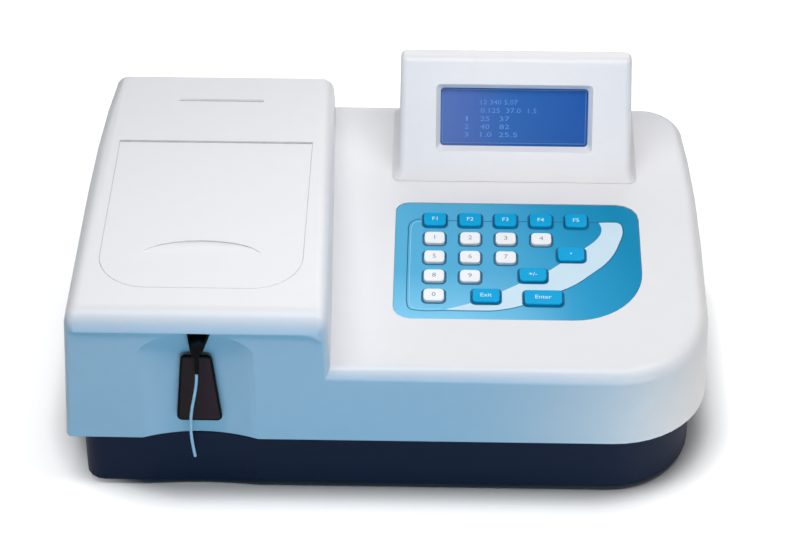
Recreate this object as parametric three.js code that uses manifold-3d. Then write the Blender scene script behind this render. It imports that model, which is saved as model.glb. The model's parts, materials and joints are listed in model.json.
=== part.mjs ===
// Benchtop chemistry analyzer: a low white case on a dark base tray, with a raised
// tower at the left that holds the sample pump, flow cell and printer, a sloped deck
// with a keypad, and a leaning display hood. Millimetres, +Z up, +X to the right and
// +Y to the back. The origin is the middle of the footprint, on the table.

import * as THREE from 'three';
import { mergeVertices } from 'three/addons/utils/BufferGeometryUtils.js';
import Module from 'manifold-3d';

const wasm = await Module();
wasm.setup();

// Whole case
const caseWidth = 420;
const caseDepth = 273;
const coverBottom = 45;
const wall = 3;
const gap = 0.3;
const overrun = 5;
const leastRadius = 0.5;
const leastCornerRadius = 4;

// Slopes of the case, as shares of height
const leftDraftShare = 0.059;
const rightDraftShare = 0.03;
const backDraftShare = 0.05;

// Plan of the whole case
const frontLeftRadius = 7;
const frontRightRadius = 64;
const backRightRadius = 27;
const backLeftRadius = 6;
const sideBow = 6;
const sideBowStart = 0;
const sideBowShares = [0, 0.4, 0.75];

// Deck, the low right part of the cover
const deckFrontHeight = 102.5;
const deckBackHeight = 125.6;
const deckFrontFillet = 9;
const deckRightFillet = 9;
const deckBackFillet = 3;

// Tower, the raised left part of the cover
const towerWidthShare = 0.4167;
const towerTaper = 6;
const towerFrontHeight = 146.7;
const towerBackHeight = 150;
const towerFrontRadius = 8;
const towerBackRadius = 6;
const towerFrontFillet = 13;
const towerLeftFillet = 9;
const towerRightFillet = 9;
const towerBackFillet = 3;

// Front face of the cover, set back under the tower's brow
const faceSetback = 1.2;
const faceTop = 133.5;
const faceCornerRadius = 17;

// Sampling niche in the front face
const nicheCentreInset = 88;
const nicheHalfWidth = 37.5;
const nicheDepth = 7.2;
const nicheSpring = 113;
const nicheRise = 20;
const plateStemHoleRadius = 4.5;

// Base tray
const baseBottom = 2.5;
const seamGap = 0.4;
const baseFrontSetback = 5;
const baseSideSetback = 10;
const baseBackSetback = 10;
const baseWall = 3;
const baseFlangeWidth = 9;
const baseFlangeDepth = 6;
const baseBottomFillet = 3.5;
const baseBottomBackFillet = 3;
const baseScoopDepth = 2.6;
const boardPostRadius = 3;
const boardPostHeight = 6;

// Feet
const footRadius = 9;
const footTopRadius = 7.5;
const footInsetX = 42;
const footInsetY = 34;

// Lid of the service bay, on top of the tower
const lidSideInset = 22.8;
const lidRightInset = 21;
const lidFrontInset = 30;
const lidBackInset = 84;
const lidCornerRadius = 32;
const lidBackCornerRadius = 0.4;
const lidGroove = 0.4;
const lidRibInset = 8;
const lidRibWidth = 2;
const lidRibDepth = 5;
const lidRibBackInset = 17;
const scoopHalfWidth = 39;
const scoopFront = 33;
const scoopLength = 16;
const scoopDepth = 1.6;

// Hinge of the lid
const hingeKnuckleRadius = 3;
const hingePinRadius = 1.5;
const hingePinReach = 4;
const hingeBossLength = 8;
const hingeBossDepth = 5;
const hingeBossHalfWidth = 5;

// Paper slot behind the lid
const slotWidth = 59;
const slotDepth = 3;
const slotBackInset = 35.5;

// Service bay liner under the lid
const bayWallInset = 5;
const bayWall = 2.5;
const bayCornerRadius = 6;
const bayBackInset = 18;
const grommetHoleRadius = 2.6;

// Paper roll and the cheeks that carry it
const rollRadius = 22;
const rollWidth = 57;
const rollBoreRadius = 5.8;
const rollLidInset = 28.5;
const rollAxisDepth = 30;
const cheekThickness = 2.5;
const cheekWidth = 22;
const cheekGap = 0.7;
const stubRadius = 5.2;
const stubLength = 6;

// Printer mechanism
const printerCheekThickness = 2.5;
const printerFrontReach = 31;
const printerBackReach = 11;
const printerTopDepth = 6;
const printerPlateThickness = 2.5;
const platenRadius = 6;
const platenLength = 58;
const platenSlotInset = 10;
const printerLap = 1;
const platenAxisDepth = 16;
const platenAxleRadius = 1.9;
const axleClearance = 0.35;
const printHeadGap = 0.8;
const printHeadThickness = 9;
const printHeadHeight = 18;
const printerBodyFrontReach = 28;
const printerBodyBackReach = 19;
const printerBodyHeight = 26;

// Peristaltic pump
const pumpSideGap = 2;
const pumpFrontInset = 36.5;
const pumpBodyShare = 0.3506;
const pumpBodyHeight = 22;
const pumpBodyRadius = 6;
const pumpWall = 4.8;
const pumpFloor = 4;
const pumpHubInset = 2.2;
const pumpRotorHeight = 15;
const rollerRadius = 4;
const rollerSqueeze = 0.7;
const rollerCount = 3;
const pumpMotorRadius = 14;
const pumpMotorLength = 34;
const pumpShaftRadius = 2;
const pumpShaftReach = 10;
const pumpShaftHoleRadius = 3;

// Silicone line from the flow cell through the pump to the waste fitting
const lineRadius = 1.5;
const lineHeight = 11;
const lineSides = 6;
const lineSteps = 72;
const lineSlotClearance = 0.5;

// Flow cell, its block and the light detector
const cellBlockShare = 0.2744;
const cellBlockWidth = 40;
const cellBlockHeight = 24;
const cellSize = 12;
const cellHeight = 30;
const cellBoreRadius = 3;
const cellFloor = 3;
const beamRadius = 2.5;
const beamHeight = 8;
const detectorLength = 12;
const detectorWidth = 16;
const detectorHeight = 18;
const cellPortRadius = 2.6;
const cellPortHeight = 4;

// Optical bench under the deck
const benchInset = 23;
const benchRightReach = 6;
const benchHalfWidth = 27;
const benchWheelGap = 3;
const benchThickness = 4;
const benchLegSize = 8;
const saddleHalfWidth = 10;

// Lamp
const lampHousingInset = 83;
const lampHousingLength = 42;
const lampHousingHalfWidth = 21;
const lampAxisDrop = 10;
const lampRoofGap = 2;
const lampCavityRadius = 8.2;
const lampCavityLength = 36;
const lensTubeRadius = 8;
const lensTubeLength = 12;
const lensBoreRadius = 4;
const lampBaseRadius = 7.9;
const lampBaseLength = 8;
const bulbRadius = 5;
const bulbLength = 20;

// Filter wheel and its stepping motor
const wheelRadius = 24;
const wheelThickness = 4;
const wheelPitch = 17;
const filterCount = 8;
const filterRadius = 4.5;
const wheelInset = 59;
const filterMotorSize = 28;
const filterMotorLength = 18;
const filterShaftRadius = 2;
const filterShaftReach = 7;

// Sipper nozzle, tube, push plate and switch
const nozzleTopWidth = 15.6;
const nozzleTopDepth = 6.2;
const nozzleNeckWidth = 9.6;
const nozzleNeckDepth = 5.6;
const nozzleEndWidth = 5;
const nozzleEndDepth = 3.2;
const nozzleTipRadius = 1.5;
const nozzleHeight = 18;
const nozzleNeckDrop = 13.5;
const nozzleTipLength = 14;
const nozzleTopShift = 2.7;
const nozzleStemRadius = 2.6;
const nozzleStemLength = 4;
const nozzleStemClearance = 0.4;
const tipPlateGap = 0.4;
const tubeRadius = 1;
const tubeSides = 8;
const tubeSteps = 16;
const plateTopWidth = 20;
const plateBottomWidth = 30;
const plateHeight = 54;
const plateBottomHeight = 58;
const plateThickness = 2;
const plateCornerRadius = 3.5;
const plateTravel = 1.2;
const plateStemRadius = 4;
const plateStemHeight = 28;
const switchWidth = 20;
const switchHeight = 11;

// Keypad on the deck
const padLeftInset = 37;
const padRightInset = 44;
const padFrontInset = 51.5;
const padBackInset = 107.5;
const padThickness = 0.9;
const padRecess = 1.7;
const padFrontLeftRadius = 12;
const padFrontRightRadius = 47;
const padBackRightRadius = 15;
const padBackLeftRadius = 9;
const keyColumnShares = [0.161, 0.3064, 0.4518, 0.5973, 0.7427];
const keyRowShares = [0.1544, 0.3184, 0.4825, 0.6465, 0.8105];
const digitKeyShares = [0.083, 0.1];
const blueKeyShares = [0.0915, 0.1123];
const wideKeyShares = [0.1098, 0.1123];
const enterKeyShares = [0.1524, 0.1193];
const pointKeyShares = [0.7171, 0.4474];
const signKeyShares = [0.5604, 0.6281];
const exitKeyShares = [0.3707, 0.8096];
const enterPlaceShares = [0.6, 0.8202];
const keyRadius = 2.6;
const keyClearance = 0.45;
const keyRise = 1.5;
const keyEdge = 0.7;
const keyFlange = 1.4;
const keyFlangeThickness = 1.4;
const keyTravel = 1.2;
const boardThickness = 1.6;
const boardMargin = 8;
const padPostRadius = 2.5;
const padPostInset = 6;

// Display hood
const hoodPlaceShare = 0.5204;
const hoodWidthShare = 0.653;
const hoodBackInset = 85.5;
const hoodTaper = 2.5;
const hoodHeight = 74.6;
const hoodFaceRun = 36.1;
const hoodBackRun = 29;
const hoodFootDepth = 76;
const hoodCornerRadius = 4.8;
const hoodTopFillet = 3;
const hoodFlare = 4;
const hoodFlareHeight = 9;
const hoodWall = 2.5;
const bezelWidthShare = 0.669;
const bezelMargin = 3;
const bezelHeight = 46.5;
const bezelDepth = 5;
const bezelFrame = 5;
const mouthRise = 1;
const lcdHeight = 40;
const lcdSideShift = 0.8;
const lcdRise = 44.6;
const windowThickness = 1.2;
const moduleMargin = 6;
const moduleDepth = 9;
const cableHoleWidth = 50;
const cableHoleLength = 16;

// Fan in the rear wall
const fanTopGap = 11.6;
const fanBottomGap = 9;
const fanDepth = 15;
const fanRightInset = 90;
const fanRim = 2.5;
const fanHubRadius = 12;
const fanBladeCount = 7;
const fanBladeGap = 1.5;
const fanBladeThickness = 1.2;
const fanBladeWidth = 10;
const fanBladeLeanShare = 0.62;
const fanArmWidth = 4;
const fanPlateThickness = 3;
const grilleSlotCount = 7;
const grilleSlotShare = 0.1236;
const grillePitchShare = 0.2545;

// Sockets in the base tray's rear wall
const socketHeight = 25;
const inletRightInset = 92;
const inletFlangeWidth = 58;
const inletFlangeHeight = 25;
const inletFlangeThickness = 2;
const inletBodyWidth = 52;
const inletBodyHeight = 20;
const inletBodyDepth = 24;
const inletCavityWidth = 24;
const inletCavityHeight = 16;
const inletCavityDepth = 17;
const inletCavityShift = 11.5;
const pinLength = 11;
const pinWidth = 2;
const pinHeight = 4;
const pinPitch = 7;
const pinDrop = 1.5;
const rockerShift = 16;
const rockerWidth = 12;
const rockerHeight = 16;
const rockerDepth = 7;
const rockerRise = 2;
const rockerTiltDegrees = 7;
const rockerClearance = 0.9;
const rockerPocketDepth = 11;
const rockerPinRadius = 1.2;
const rockerPivotDepth = 3;
const serialRightInset = 160;
const serialFlangeWidth = 31;
const serialFlangeHeight = 12.5;
const serialFlangeThickness = 1;
const serialShellWidth = 17;
const serialShellHeight = 8.5;
const serialShellLength = 6;
const serialShellSlant = 1.3;
const serialBodyDepth = 9;
const wasteLeftInset = 60;
const wasteFlangeRadius = 8;
const wasteFlangeThickness = 2.5;
const wasteThreadRadius = 5;
const wasteBarbRadius = 3.4;
const wasteBarbNeck = 2.6;
const wasteBarbLength = 7;
const wasteBoreRadius = 1.4;
const wasteInnerLength = 8;

// Boards and supply on the base tray's floor
const supplyRightInset = 46;
const supplyWidth = 92;
const supplyLength = 86;
const supplyHeight = 34;
const supplyWall = 1.5;
const supplyBackInset = 40.5;
const supplyBoardHeight = 3;
const mainBoardGap = 18;
const mainBoardWidth = 116;
const mainBoardBackInset = 26.5;
const mainBoardLength = 88;
const mainBoardPostInset = 6;
const chipSize = 24;
const chipHeight = 3;

// Smoothness of round stretches
const smallSteps = 4;
const fineSteps = 12;
const filletSteps = 5;
const innerFilletSteps = 2;
const roundSides = 24;
const holeSides = 16;

// Places worked out from the driving dimensions
const front = -caseDepth / 2;
const back = caseDepth / 2;
const left = -caseWidth / 2;
const right = caseWidth / 2;
const towerWidth = caseWidth * towerWidthShare;
const towerRight = left + towerWidth;
const deckWidth = caseWidth - towerWidth;
const faceY = front + faceSetback;
const nicheX = left + nicheCentreInset;
const nicheY = faceY + nicheDepth;
const baseTop = coverBottom - seamGap;
const baseFloor = baseBottom + baseWall;
const baseBackY = back - baseBackSetback;
const lidWidth = towerWidth - lidSideInset - lidRightInset;
const lidX = left + lidSideInset + lidWidth / 2;
const lidFrontY = front + lidFrontInset;
const lidBackY = back - lidBackInset;
const lidLength = lidBackY - lidFrontY;
const slotY = back - slotBackInset;
const deckTop = (y) => deckFrontHeight + (y - front) * (deckBackHeight - deckFrontHeight) / caseDepth;
const towerTop = (y) => towerFrontHeight + (y - front) * (towerBackHeight - towerFrontHeight) / caseDepth;
const deckTilt = Math.atan((deckBackHeight - deckFrontHeight) / caseDepth);
const towerTilt = Math.atan((towerBackHeight - towerFrontHeight) / caseDepth);
const hoodX = right - deckWidth * hoodPlaceShare;
const hoodY = back - hoodBackInset;
const deckSlope = (deckBackHeight - deckFrontHeight) / caseDepth;
const hoodLean = Math.atan(hoodFaceRun / (hoodHeight + deckSlope * hoodFaceRun));
const hoodBottomWidth = deckWidth * hoodWidthShare;
const hoodTopWidth = hoodBottomWidth - hoodTaper;
const bezelWidth = hoodBottomWidth * bezelWidthShare;
const lcdWidth = bezelWidth - bezelMargin * 2;
const padWidth = deckWidth - padLeftInset - padRightInset;
const padLength = caseDepth - padFrontInset - padBackInset;
const keyBottomDepth = wall + gap + keyFlangeThickness;
const boardTopDepth = keyBottomDepth + keyTravel + gap;
const rollAxisY = lidBackY - rollLidInset;
const printerFront = slotY - printerFrontReach;
const printerBack = slotY + printerBackReach;
const platenAxisY = slotY - platenSlotInset;
const printerBodyFront = slotY - printerBodyFrontReach;
const printerBodyBack = slotY - printerBodyBackReach;
const pumpBodySize = lidWidth * pumpBodyShare;
const pumpBoreRadius = pumpBodySize / 2 - pumpWall;
const lineLoopRadius = pumpBoreRadius - lineRadius - gap;
const rollerPitch = lineLoopRadius - lineRadius - rollerRadius - rollerSqueeze;
const pumpRotorRadius = rollerPitch - pumpHubInset;
const cellBlockLength = lidWidth * cellBlockShare;
const pumpCentreX = -lidWidth / 2 + bayWallInset + pumpSideGap + pumpBodySize / 2;
const pumpCentreY = lidFrontY + pumpFrontInset;
const cellBlockY = pumpCentreY;
const lampTop = deckTop(pumpCentreY - lampHousingHalfWidth) - boardTopDepth - boardThickness - lampRoofGap;
const bayDepth = towerTop(pumpCentreY) - lampTop + lampAxisDrop + beamHeight;
const benchLeft = towerRight + benchInset;
const lampHousingLeft = towerRight + lampHousingInset;
const benchRight = lampHousingLeft + lampHousingLength + benchRightReach;
const wheelPlace = towerRight + wheelInset;
const fanSize = deckBackHeight - coverBottom - fanTopGap - fanBottomGap;
const fanHeight = coverBottom + fanBottomGap + fanSize / 2;
const fanBoreRadius = fanSize / 2 - fanRim;
const fanBladeRadius = fanBoreRadius - fanBladeGap;
const grilleSlotHeight = fanBoreRadius * grilleSlotShare;
const grilleSlotPitch = fanBoreRadius * grillePitchShare;
const supplyLeft = right - supplyRightInset - supplyWidth;
const supplyFront = back - supplyBackInset - supplyLength;
const mainBoardLeft = supplyLeft - mainBoardGap - mainBoardWidth;
const mainBoardFront = back - mainBoardBackInset - mainBoardLength;
const quarter = Math.PI / 2;
const arcRadius = (halfWidth, depth) => (halfWidth ** 2 + depth ** 2) / (2 * depth);

// Materials
function finish(color, roughness, metalness = 0) {
  return new THREE.MeshStandardMaterial({ color, roughness, metalness });
}
const whitePlastic = () => finish('#e6e7ea', 0.45);
const navyPlastic = () => finish('#1b2231', 0.5);
const blackPlastic = () => finish('#121315', 0.4);
const greyPlastic = () => finish('#8b9096', 0.5);
const rubber = () => finish('#232427', 0.85);
const steel = () => finish('#b4b8bd', 0.3, 1);
const aluminium = () => finish('#c3c7cb', 0.4, 1);
const boardGreen = () => finish('#1f5a3c', 0.55);

// Closed solid through a row of rings that have the same number of points
function loft(rings) {
  const count = rings[0].length;
  const positions = rings.flat().flatMap((point) => [point.x, point.y, point.z]);
  const index = [];
  for (let level = 0; level < rings.length - 1; level += 1) {
    for (let i = 0; i < count; i += 1) {
      const a = level * count + i;
      const b = level * count + (i + 1) % count;
      index.push(a, b, b + count, a, b + count, a + count);
    }
  }
  const lastRing = (rings.length - 1) * count;
  for (const [a, b, c] of capTriangles(rings[0])) index.push(a, c, b);
  for (const [a, b, c] of capTriangles(rings.at(-1))) index.push(a + lastRing, b + lastRing, c + lastRing);
  const geometry = new THREE.BufferGeometry();
  geometry.setAttribute('position', new THREE.Float32BufferAttribute(positions, 3));
  geometry.setIndex(index);
  if (signedVolume(geometry) < 0) {
    const turned = [];
    for (let i = 0; i < index.length; i += 3) turned.push(index[i], index[i + 2], index[i + 1]);
    geometry.setIndex(turned);
  }
  return geometry;
}

// Triangles over one flat ring, turned the way the ring runs
function capTriangles(ring) {
  const normal = new THREE.Vector3();
  ring.forEach((point, i) => {
    normal.add(new THREE.Vector3().crossVectors(point, ring[(i + 1) % ring.length]));
  });
  normal.normalize();
  const across = new THREE.Vector3(1, 0, 0);
  if (Math.abs(normal.x) > Math.SQRT1_2) across.set(0, 1, 0);
  across.cross(normal).normalize();
  const along = new THREE.Vector3().crossVectors(normal, across);
  const flat = ring.map((point) => new THREE.Vector2(point.dot(across), point.dot(along)));
  const triangles = THREE.ShapeUtils.triangulateShape(flat, []);
  const area = ([a, b, c]) => flat[b].clone().sub(flat[a]).cross(flat[c].clone().sub(flat[a]));
  const total = triangles.reduce((sum, triangle) => sum + area(triangle), 0);
  return triangles.map(([a, b, c]) => (total > 0 ? [a, b, c] : [a, c, b]));
}

function signedVolume(geometry) {
  const position = geometry.getAttribute('position');
  const index = geometry.getIndex().array;
  const corner = (i) => new THREE.Vector3().fromBufferAttribute(position, index[i]);
  let volume = 0;
  for (let i = 0; i < index.length; i += 3) volume += corner(i).dot(corner(i + 1).cross(corner(i + 2)));
  return volume;
}

// Outline of a polygon whose corners are rounded, one radius for each corner
function roundedOutline(corners, radii, steps = smallSteps) {
  const points = [];
  corners.forEach(([x, y], i) => {
    const here = new THREE.Vector2(x, y);
    const before = new THREE.Vector2(...corners[(i + corners.length - 1) % corners.length]);
    const after = new THREE.Vector2(...corners[(i + 1) % corners.length]);
    const radius = Array.isArray(radii) ? radii[i] : radii;
    const cornerSteps = Array.isArray(steps) ? steps[i] : steps;
    if (radius === 0) {
      points.push(here);
      return;
    }
    const toBefore = before.sub(here).normalize();
    const toAfter = after.sub(here).normalize();
    const half = Math.acos(toBefore.dot(toAfter)) / 2;
    const middle = toBefore.clone().add(toAfter).normalize();
    const centre = here.clone().addScaledVector(middle, radius / Math.sin(half));
    const start = here.clone().addScaledVector(toBefore, radius / Math.tan(half)).sub(centre);
    const end = here.clone().addScaledVector(toAfter, radius / Math.tan(half)).sub(centre);
    const sweep = Math.atan2(start.cross(end), start.dot(end));
    for (let step = 0; step <= cornerSteps; step += 1) {
      const turned = start.clone().rotateAround(new THREE.Vector2(), sweep * step / cornerSteps);
      points.push(turned.add(centre));
    }
  });
  return points;
}

function rectangle(width, height, radius = 0, x = 0, y = 0, steps = smallSteps) {
  const halfWidth = width / 2;
  const halfHeight = height / 2;
  const corners = [[-1, -1], [1, -1], [1, 1], [-1, 1]].map(([sx, sy]) => [sx * halfWidth, sy * halfHeight]);
  return roundedOutline(corners.map(([cx, cy]) => [cx + x, cy + y]), radius, steps);
}

// Plate on an outline, from z 0 up to its thickness, with holes through it
function plate(outline, thickness, holes = []) {
  const shape = new THREE.Shape(outline);
  holes.forEach((hole) => shape.holes.push(new THREE.Path(hole)));
  return new THREE.ExtrudeGeometry(shape, { depth: thickness, bevelEnabled: false, steps: 1 });
}

// The same plate standing up: its outline is seen from the front, it reaches from y 0 to the front
const standingPlate = (outline, thickness, holes = []) => plate(outline, thickness, holes).rotateX(quarter);

// A bar whose outline in y and z runs along +X
const sideTurn = new THREE.Matrix4().makeBasis(
  new THREE.Vector3(0, 1, 0), new THREE.Vector3(0, 0, 1), new THREE.Vector3(1, 0, 0));
const bar = (outline, length) => plate(outline, length).applyMatrix4(sideTurn);

function drum(radius, length, sides = roundSides) {
  const centred = new THREE.CylinderGeometry(radius, radius, length, sides);
  return centred.rotateX(quarter).translate(0, 0, length / 2);
}
const drumAlongX = (radius, length, sides) => drum(radius, length, sides).rotateY(quarter);
const drumAlongY = (radius, length, sides) => drum(radius, length, sides).rotateX(-quarter);

function block(x0, x1, y0, y1, z0, z1) {
  const centred = new THREE.BoxGeometry(x1 - x0, y1 - y0, z1 - z0);
  return centred.translate((x0 + x1) / 2, (y0 + y1) / 2, (z0 + z1) / 2);
}

// Solids that can be joined and cut
function solid(geometry) {
  const bare = new THREE.BufferGeometry();
  bare.setAttribute('position', geometry.getAttribute('position').clone());
  if (geometry.getIndex()) bare.setIndex(geometry.getIndex().clone());
  const merged = mergeVertices(bare);
  return new wasm.Manifold(new wasm.Mesh({
    numProp: 3,
    vertProperties: new Float32Array(merged.getAttribute('position').array),
    triVerts: new Uint32Array(merged.getIndex().array),
  }));
}
const join = (...shapes) => shapes.reduce((sum, shape) => sum.add(shape));
const cut = (body, ...tools) => tools.reduce((rest, tool) => rest.subtract(tool), body);
const placedSolid = (geometry, frame) => solid(geometry.clone().applyMatrix4(frame));

function surfaceOf(body) {
  const mesh = body.getMesh();
  const geometry = new THREE.BufferGeometry();
  geometry.setAttribute('position', new THREE.BufferAttribute(new Float32Array(mesh.vertProperties), 3));
  geometry.setIndex(new THREE.BufferAttribute(new Uint32Array(mesh.triVerts), 1));
  geometry.computeVertexNormals();
  return geometry;
}

// Frames of the sloped surfaces: pieces on them are placed in the surface's own directions
const analyzer = new THREE.Group();
function frameGroup(x, y, z, turnX) {
  const group = new THREE.Group();
  group.position.set(x, y, z);
  group.rotation.x = turnX;
  analyzer.add(group);
  group.updateMatrixWorld(true);
  return group;
}
const backWallY = (z) => back - backDraftShare * (z - coverBottom);
const deckFrame = frameGroup(0, 0, deckTop(0), deckTilt);
const towerFrame = frameGroup(lidX, 0, towerTop(0), towerTilt);
const hoodFrame = frameGroup(hoodX, hoodY, deckTop(hoodY), quarter - hoodLean);
const rearTilt = Math.atan(backDraftShare);
const rearFrame = frameGroup(right - fanRightInset, backWallY(fanHeight), fanHeight, rearTilt);

function addPiece(name, shape, material, parent = analyzer) {
  const geometry = surfaceOf(shape.isBufferGeometry ? solid(shape) : shape);
  const mesh = new THREE.Mesh(geometry, material);
  mesh.name = name;
  parent.add(mesh);
  return mesh;
}

// Outline of the case or the tower seen from above; each point keeps its outward direction
function planOutline(plan, inset) {
  const x0 = plan.left + inset.left;
  const x1 = plan.right - inset.right;
  const y0 = plan.front + inset.front;
  const y1 = plan.back - inset.back;
  const radius = (name, one, two) => Math.max(plan[name] - (inset[one] + inset[two]) / 2, leastCornerRadius);
  const frontLeft = radius('frontLeftRadius', 'front', 'left');
  const frontRight = radius('frontRightRadius', 'front', 'right');
  const backRight = radius('backRightRadius', 'back', 'right');
  const backLeft = radius('backLeftRadius', 'back', 'left');
  const points = [];
  const arc = (x, y, size, start, steps, sideX, sideY) => {
    for (let step = 0; step <= steps; step += 1) {
      const angle = start + quarter * step / steps;
      const nx = Math.cos(angle);
      const ny = Math.sin(angle);
      points.push({ x: x + size * nx, y: y + size * ny, nx, ny, sideX, sideY });
    }
  };
  const bowY = (share, size) => sideBowStart + share * (y1 - size - sideBowStart);
  arc(x0 + frontLeft, y0 + frontLeft, frontLeft, 2 * quarter, smallSteps, -1, -1);
  arc(x1 - frontRight, y0 + frontRight, frontRight, 3 * quarter, plan.frontRightSteps, 1, -1);
  const bowPoint = (x, y, side) => points.push({ x, y, nx: side, ny: 0, sideX: side, sideY: 0 });
  for (const share of plan.rightShares) {
    bowPoint(x1 - plan.rightBow * share ** 2, bowY(share, backRight), 1);
  }
  arc(x1 - plan.rightBow - backRight, y1 - backRight, backRight, 0, plan.backRightSteps, 1, 1);
  arc(x0 + sideBow + backLeft, y1 - backLeft, backLeft, quarter, smallSteps, -1, 1);
  for (const share of [...sideBowShares].reverse()) {
    bowPoint(x0 + sideBow * share ** 2, bowY(share, backLeft), -1);
  }
  return points;
}

const casePlan = {
  left, right, front: faceY, back, frontLeftRadius, frontRightRadius, backRightRadius, backLeftRadius,
  rightBow: sideBow, rightShares: sideBowShares, frontRightSteps: fineSteps, backRightSteps: smallSteps * 2,
};
const towerPlan = {
  ...casePlan, right: towerRight, front, frontRightRadius: towerFrontRadius, backRightRadius: towerBackRadius,
  rightBow: towerTaper, rightShares: [], frontRightSteps: smallSteps, backRightSteps: smallSteps,
};
const deckFillets = {
  left: deckRightFillet, right: deckRightFillet, front: deckFrontFillet, back: deckBackFillet,
};
const towerFillets = {
  left: towerLeftFillet, right: towerRightFillet, front: towerFrontFillet, back: towerBackFillet,
};

// Case body on a plan: drafted walls, filleted into a flat sloped top. Inset makes the inner one.
function caseBody(plan, top, fillets, inset, bottom, steps) {
  const sides = ['left', 'right', 'front', 'back'];
  const filletOf = (side) => Math.max(fillets[side] - inset, leastRadius);
  const insetBy = (share) => Object.fromEntries(sides.map((side) => [side, inset + filletOf(side) * share]));
  const place = (point, heightOf) => {
    const rise = heightOf(point) - coverBottom;
    const x = point.x - (point.sideX > 0 ? rightDraftShare : -leftDraftShare) * rise;
    const y = point.y - (point.sideY > 0 ? backDraftShare * rise : 0);
    return new THREE.Vector3(x, y, heightOf({ ...point, y }));
  };
  const rings = [planOutline(plan, insetBy(0)).map((point) => place(point, () => bottom))];
  for (let step = 0; step <= steps; step += 1) {
    const angle = quarter * step / steps;
    const heightOf = (point) => {
      const besideX = filletOf(point.nx > 0 ? 'right' : 'left') * Math.abs(point.nx);
      const besideY = filletOf(point.ny > 0 ? 'back' : 'front') * Math.abs(point.ny);
      const fillet = (besideX + besideY) / (Math.abs(point.nx) + Math.abs(point.ny));
      return top(point.y) - inset - fillet * (1 - Math.sin(angle));
    };
    rings.push(planOutline(plan, insetBy(1 - Math.cos(angle))).map((point) => place(point, heightOf)));
  }
  return solid(loft(rings));
}

// Shallow arc seen from above, closed in front, for the niche and the base tray's hollow front
function hollowFront(halfWidth, depth, lineY) {
  const radius = arcRadius(halfWidth, depth);
  const reach = Math.asin(halfWidth / radius);
  const points = [];
  for (let step = 0; step <= fineSteps; step += 1) {
    const angle = reach * (1 - 2 * step / fineSteps);
    const rise = radius * Math.cos(angle) - (radius - depth);
    points.push(new THREE.Vector2(nicheX + radius * Math.sin(angle), lineY + rise));
  }
  for (const side of [-1, 1]) points.push(new THREE.Vector2(nicheX + side * halfWidth, front - overrun));
  return points;
}

// Arch seen from the front, from below the cover up to the brow
function nicheArch(grow) {
  const halfWidth = nicheHalfWidth + grow;
  const points = [];
  for (let step = 0; step <= fineSteps; step += 1) {
    const angle = 2 * quarter * step / fineSteps;
    const height = nicheSpring + (nicheRise + grow) * Math.sin(angle);
    points.push(new THREE.Vector2(nicheX + halfWidth * Math.cos(angle), height));
  }
  for (const side of [-1, 1]) points.push(new THREE.Vector2(nicheX + side * halfWidth, baseBottom));
  return points;
}

function nicheSolid(grow) {
  const floorPlan = hollowFront(nicheHalfWidth + grow, nicheDepth + grow, faceY);
  const column = solid(plate(floorPlan, faceTop + wall * 2));
  const arch = solid(standingPlate(nicheArch(grow), caseDepth).translate(0, caseDepth / 2, 0));
  return column.intersect(arch);
}

// Keys: name, centre from the keypad's back left corner, size and colour, as shares of the keypad
function keyList() {
  const keys = [];
  const add = (name, [x, y], [width, length], blue = true) => keys.push({ name, x, y, width, length, blue });
  keyColumnShares.forEach((share, i) => add(`key_f${i + 1}`, [share, keyRowShares[0]], blueKeyShares));
  const digitRows = [[1, 2, 3, 4], [5, 6, 7], [8, 9], [0]];
  digitRows.forEach((digits, row) => digits.forEach((digit, column) => {
    add(`key_${digit}`, [keyColumnShares[column], keyRowShares[row + 1]], digitKeyShares, false);
  }));
  add('key_point', pointKeyShares, wideKeyShares);
  add('key_sign', signKeyShares, wideKeyShares);
  add('key_exit', exitKeyShares, wideKeyShares);
  add('key_enter', enterPlaceShares, enterKeyShares);
  return keys.map((key) => ({
    ...key,
    x: padX + padWidth * (key.x - 1 / 2),
    y: padY + padLength * (1 / 2 - key.y),
    width: padWidth * key.width,
    length: padLength * key.length,
  }));
}
const padX = towerRight + padLeftInset + padWidth / 2;
const padY = (front + padFrontInset + padLength / 2) / Math.cos(deckTilt);
const keys = keyList();
const keyOutline = (key, grow, steps) => {
  return rectangle(key.width + grow * 2, key.length + grow * 2, keyRadius + grow, key.x, key.y, steps);
};
const padOutline = (grow) => {
  const radii = [padFrontLeftRadius, padFrontRightRadius, padBackRightRadius, padBackLeftRadius];
  const steps = [smallSteps, fineSteps, smallSteps, smallSteps];
  return rectangle(padWidth + grow * 2, padLength + grow * 2, radii, padX, padY, steps);
};

// Lid outline in the tower frame
function lidOutline(grow) {
  const halfWidth = lidWidth / 2 + grow;
  const corners = [[-halfWidth, lidFrontY - grow], [halfWidth, lidFrontY - grow],
    [halfWidth, lidBackY + grow], [-halfWidth, lidBackY + grow]];
  const radii = [lidCornerRadius, lidCornerRadius, lidBackCornerRadius, lidBackCornerRadius];
  return roundedOutline(corners, radii, [smallSteps * 2, smallSteps * 2, 1, 1]);
}
const hingeY = lidBackY - hingeKnuckleRadius;
const hingePinHalf = lidWidth / 2 + lidGroove + hingePinReach;
const nozzleX = nicheX;
const nicheRadius = arcRadius(nicheHalfWidth, nicheDepth);
const nicheSag = nicheRadius - Math.sqrt(nicheRadius ** 2 - (plateBottomWidth / 2) ** 2);
const plateFrontY = nicheY - nicheSag - gap - plateTravel - plateThickness;
const tipY = plateFrontY - tipPlateGap - nozzleTipRadius;
const nozzleTopZ = nicheSpring + nicheRise - gap * 3;
const nozzleY = faceY + nozzleTopDepth / 2 + gap;

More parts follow.
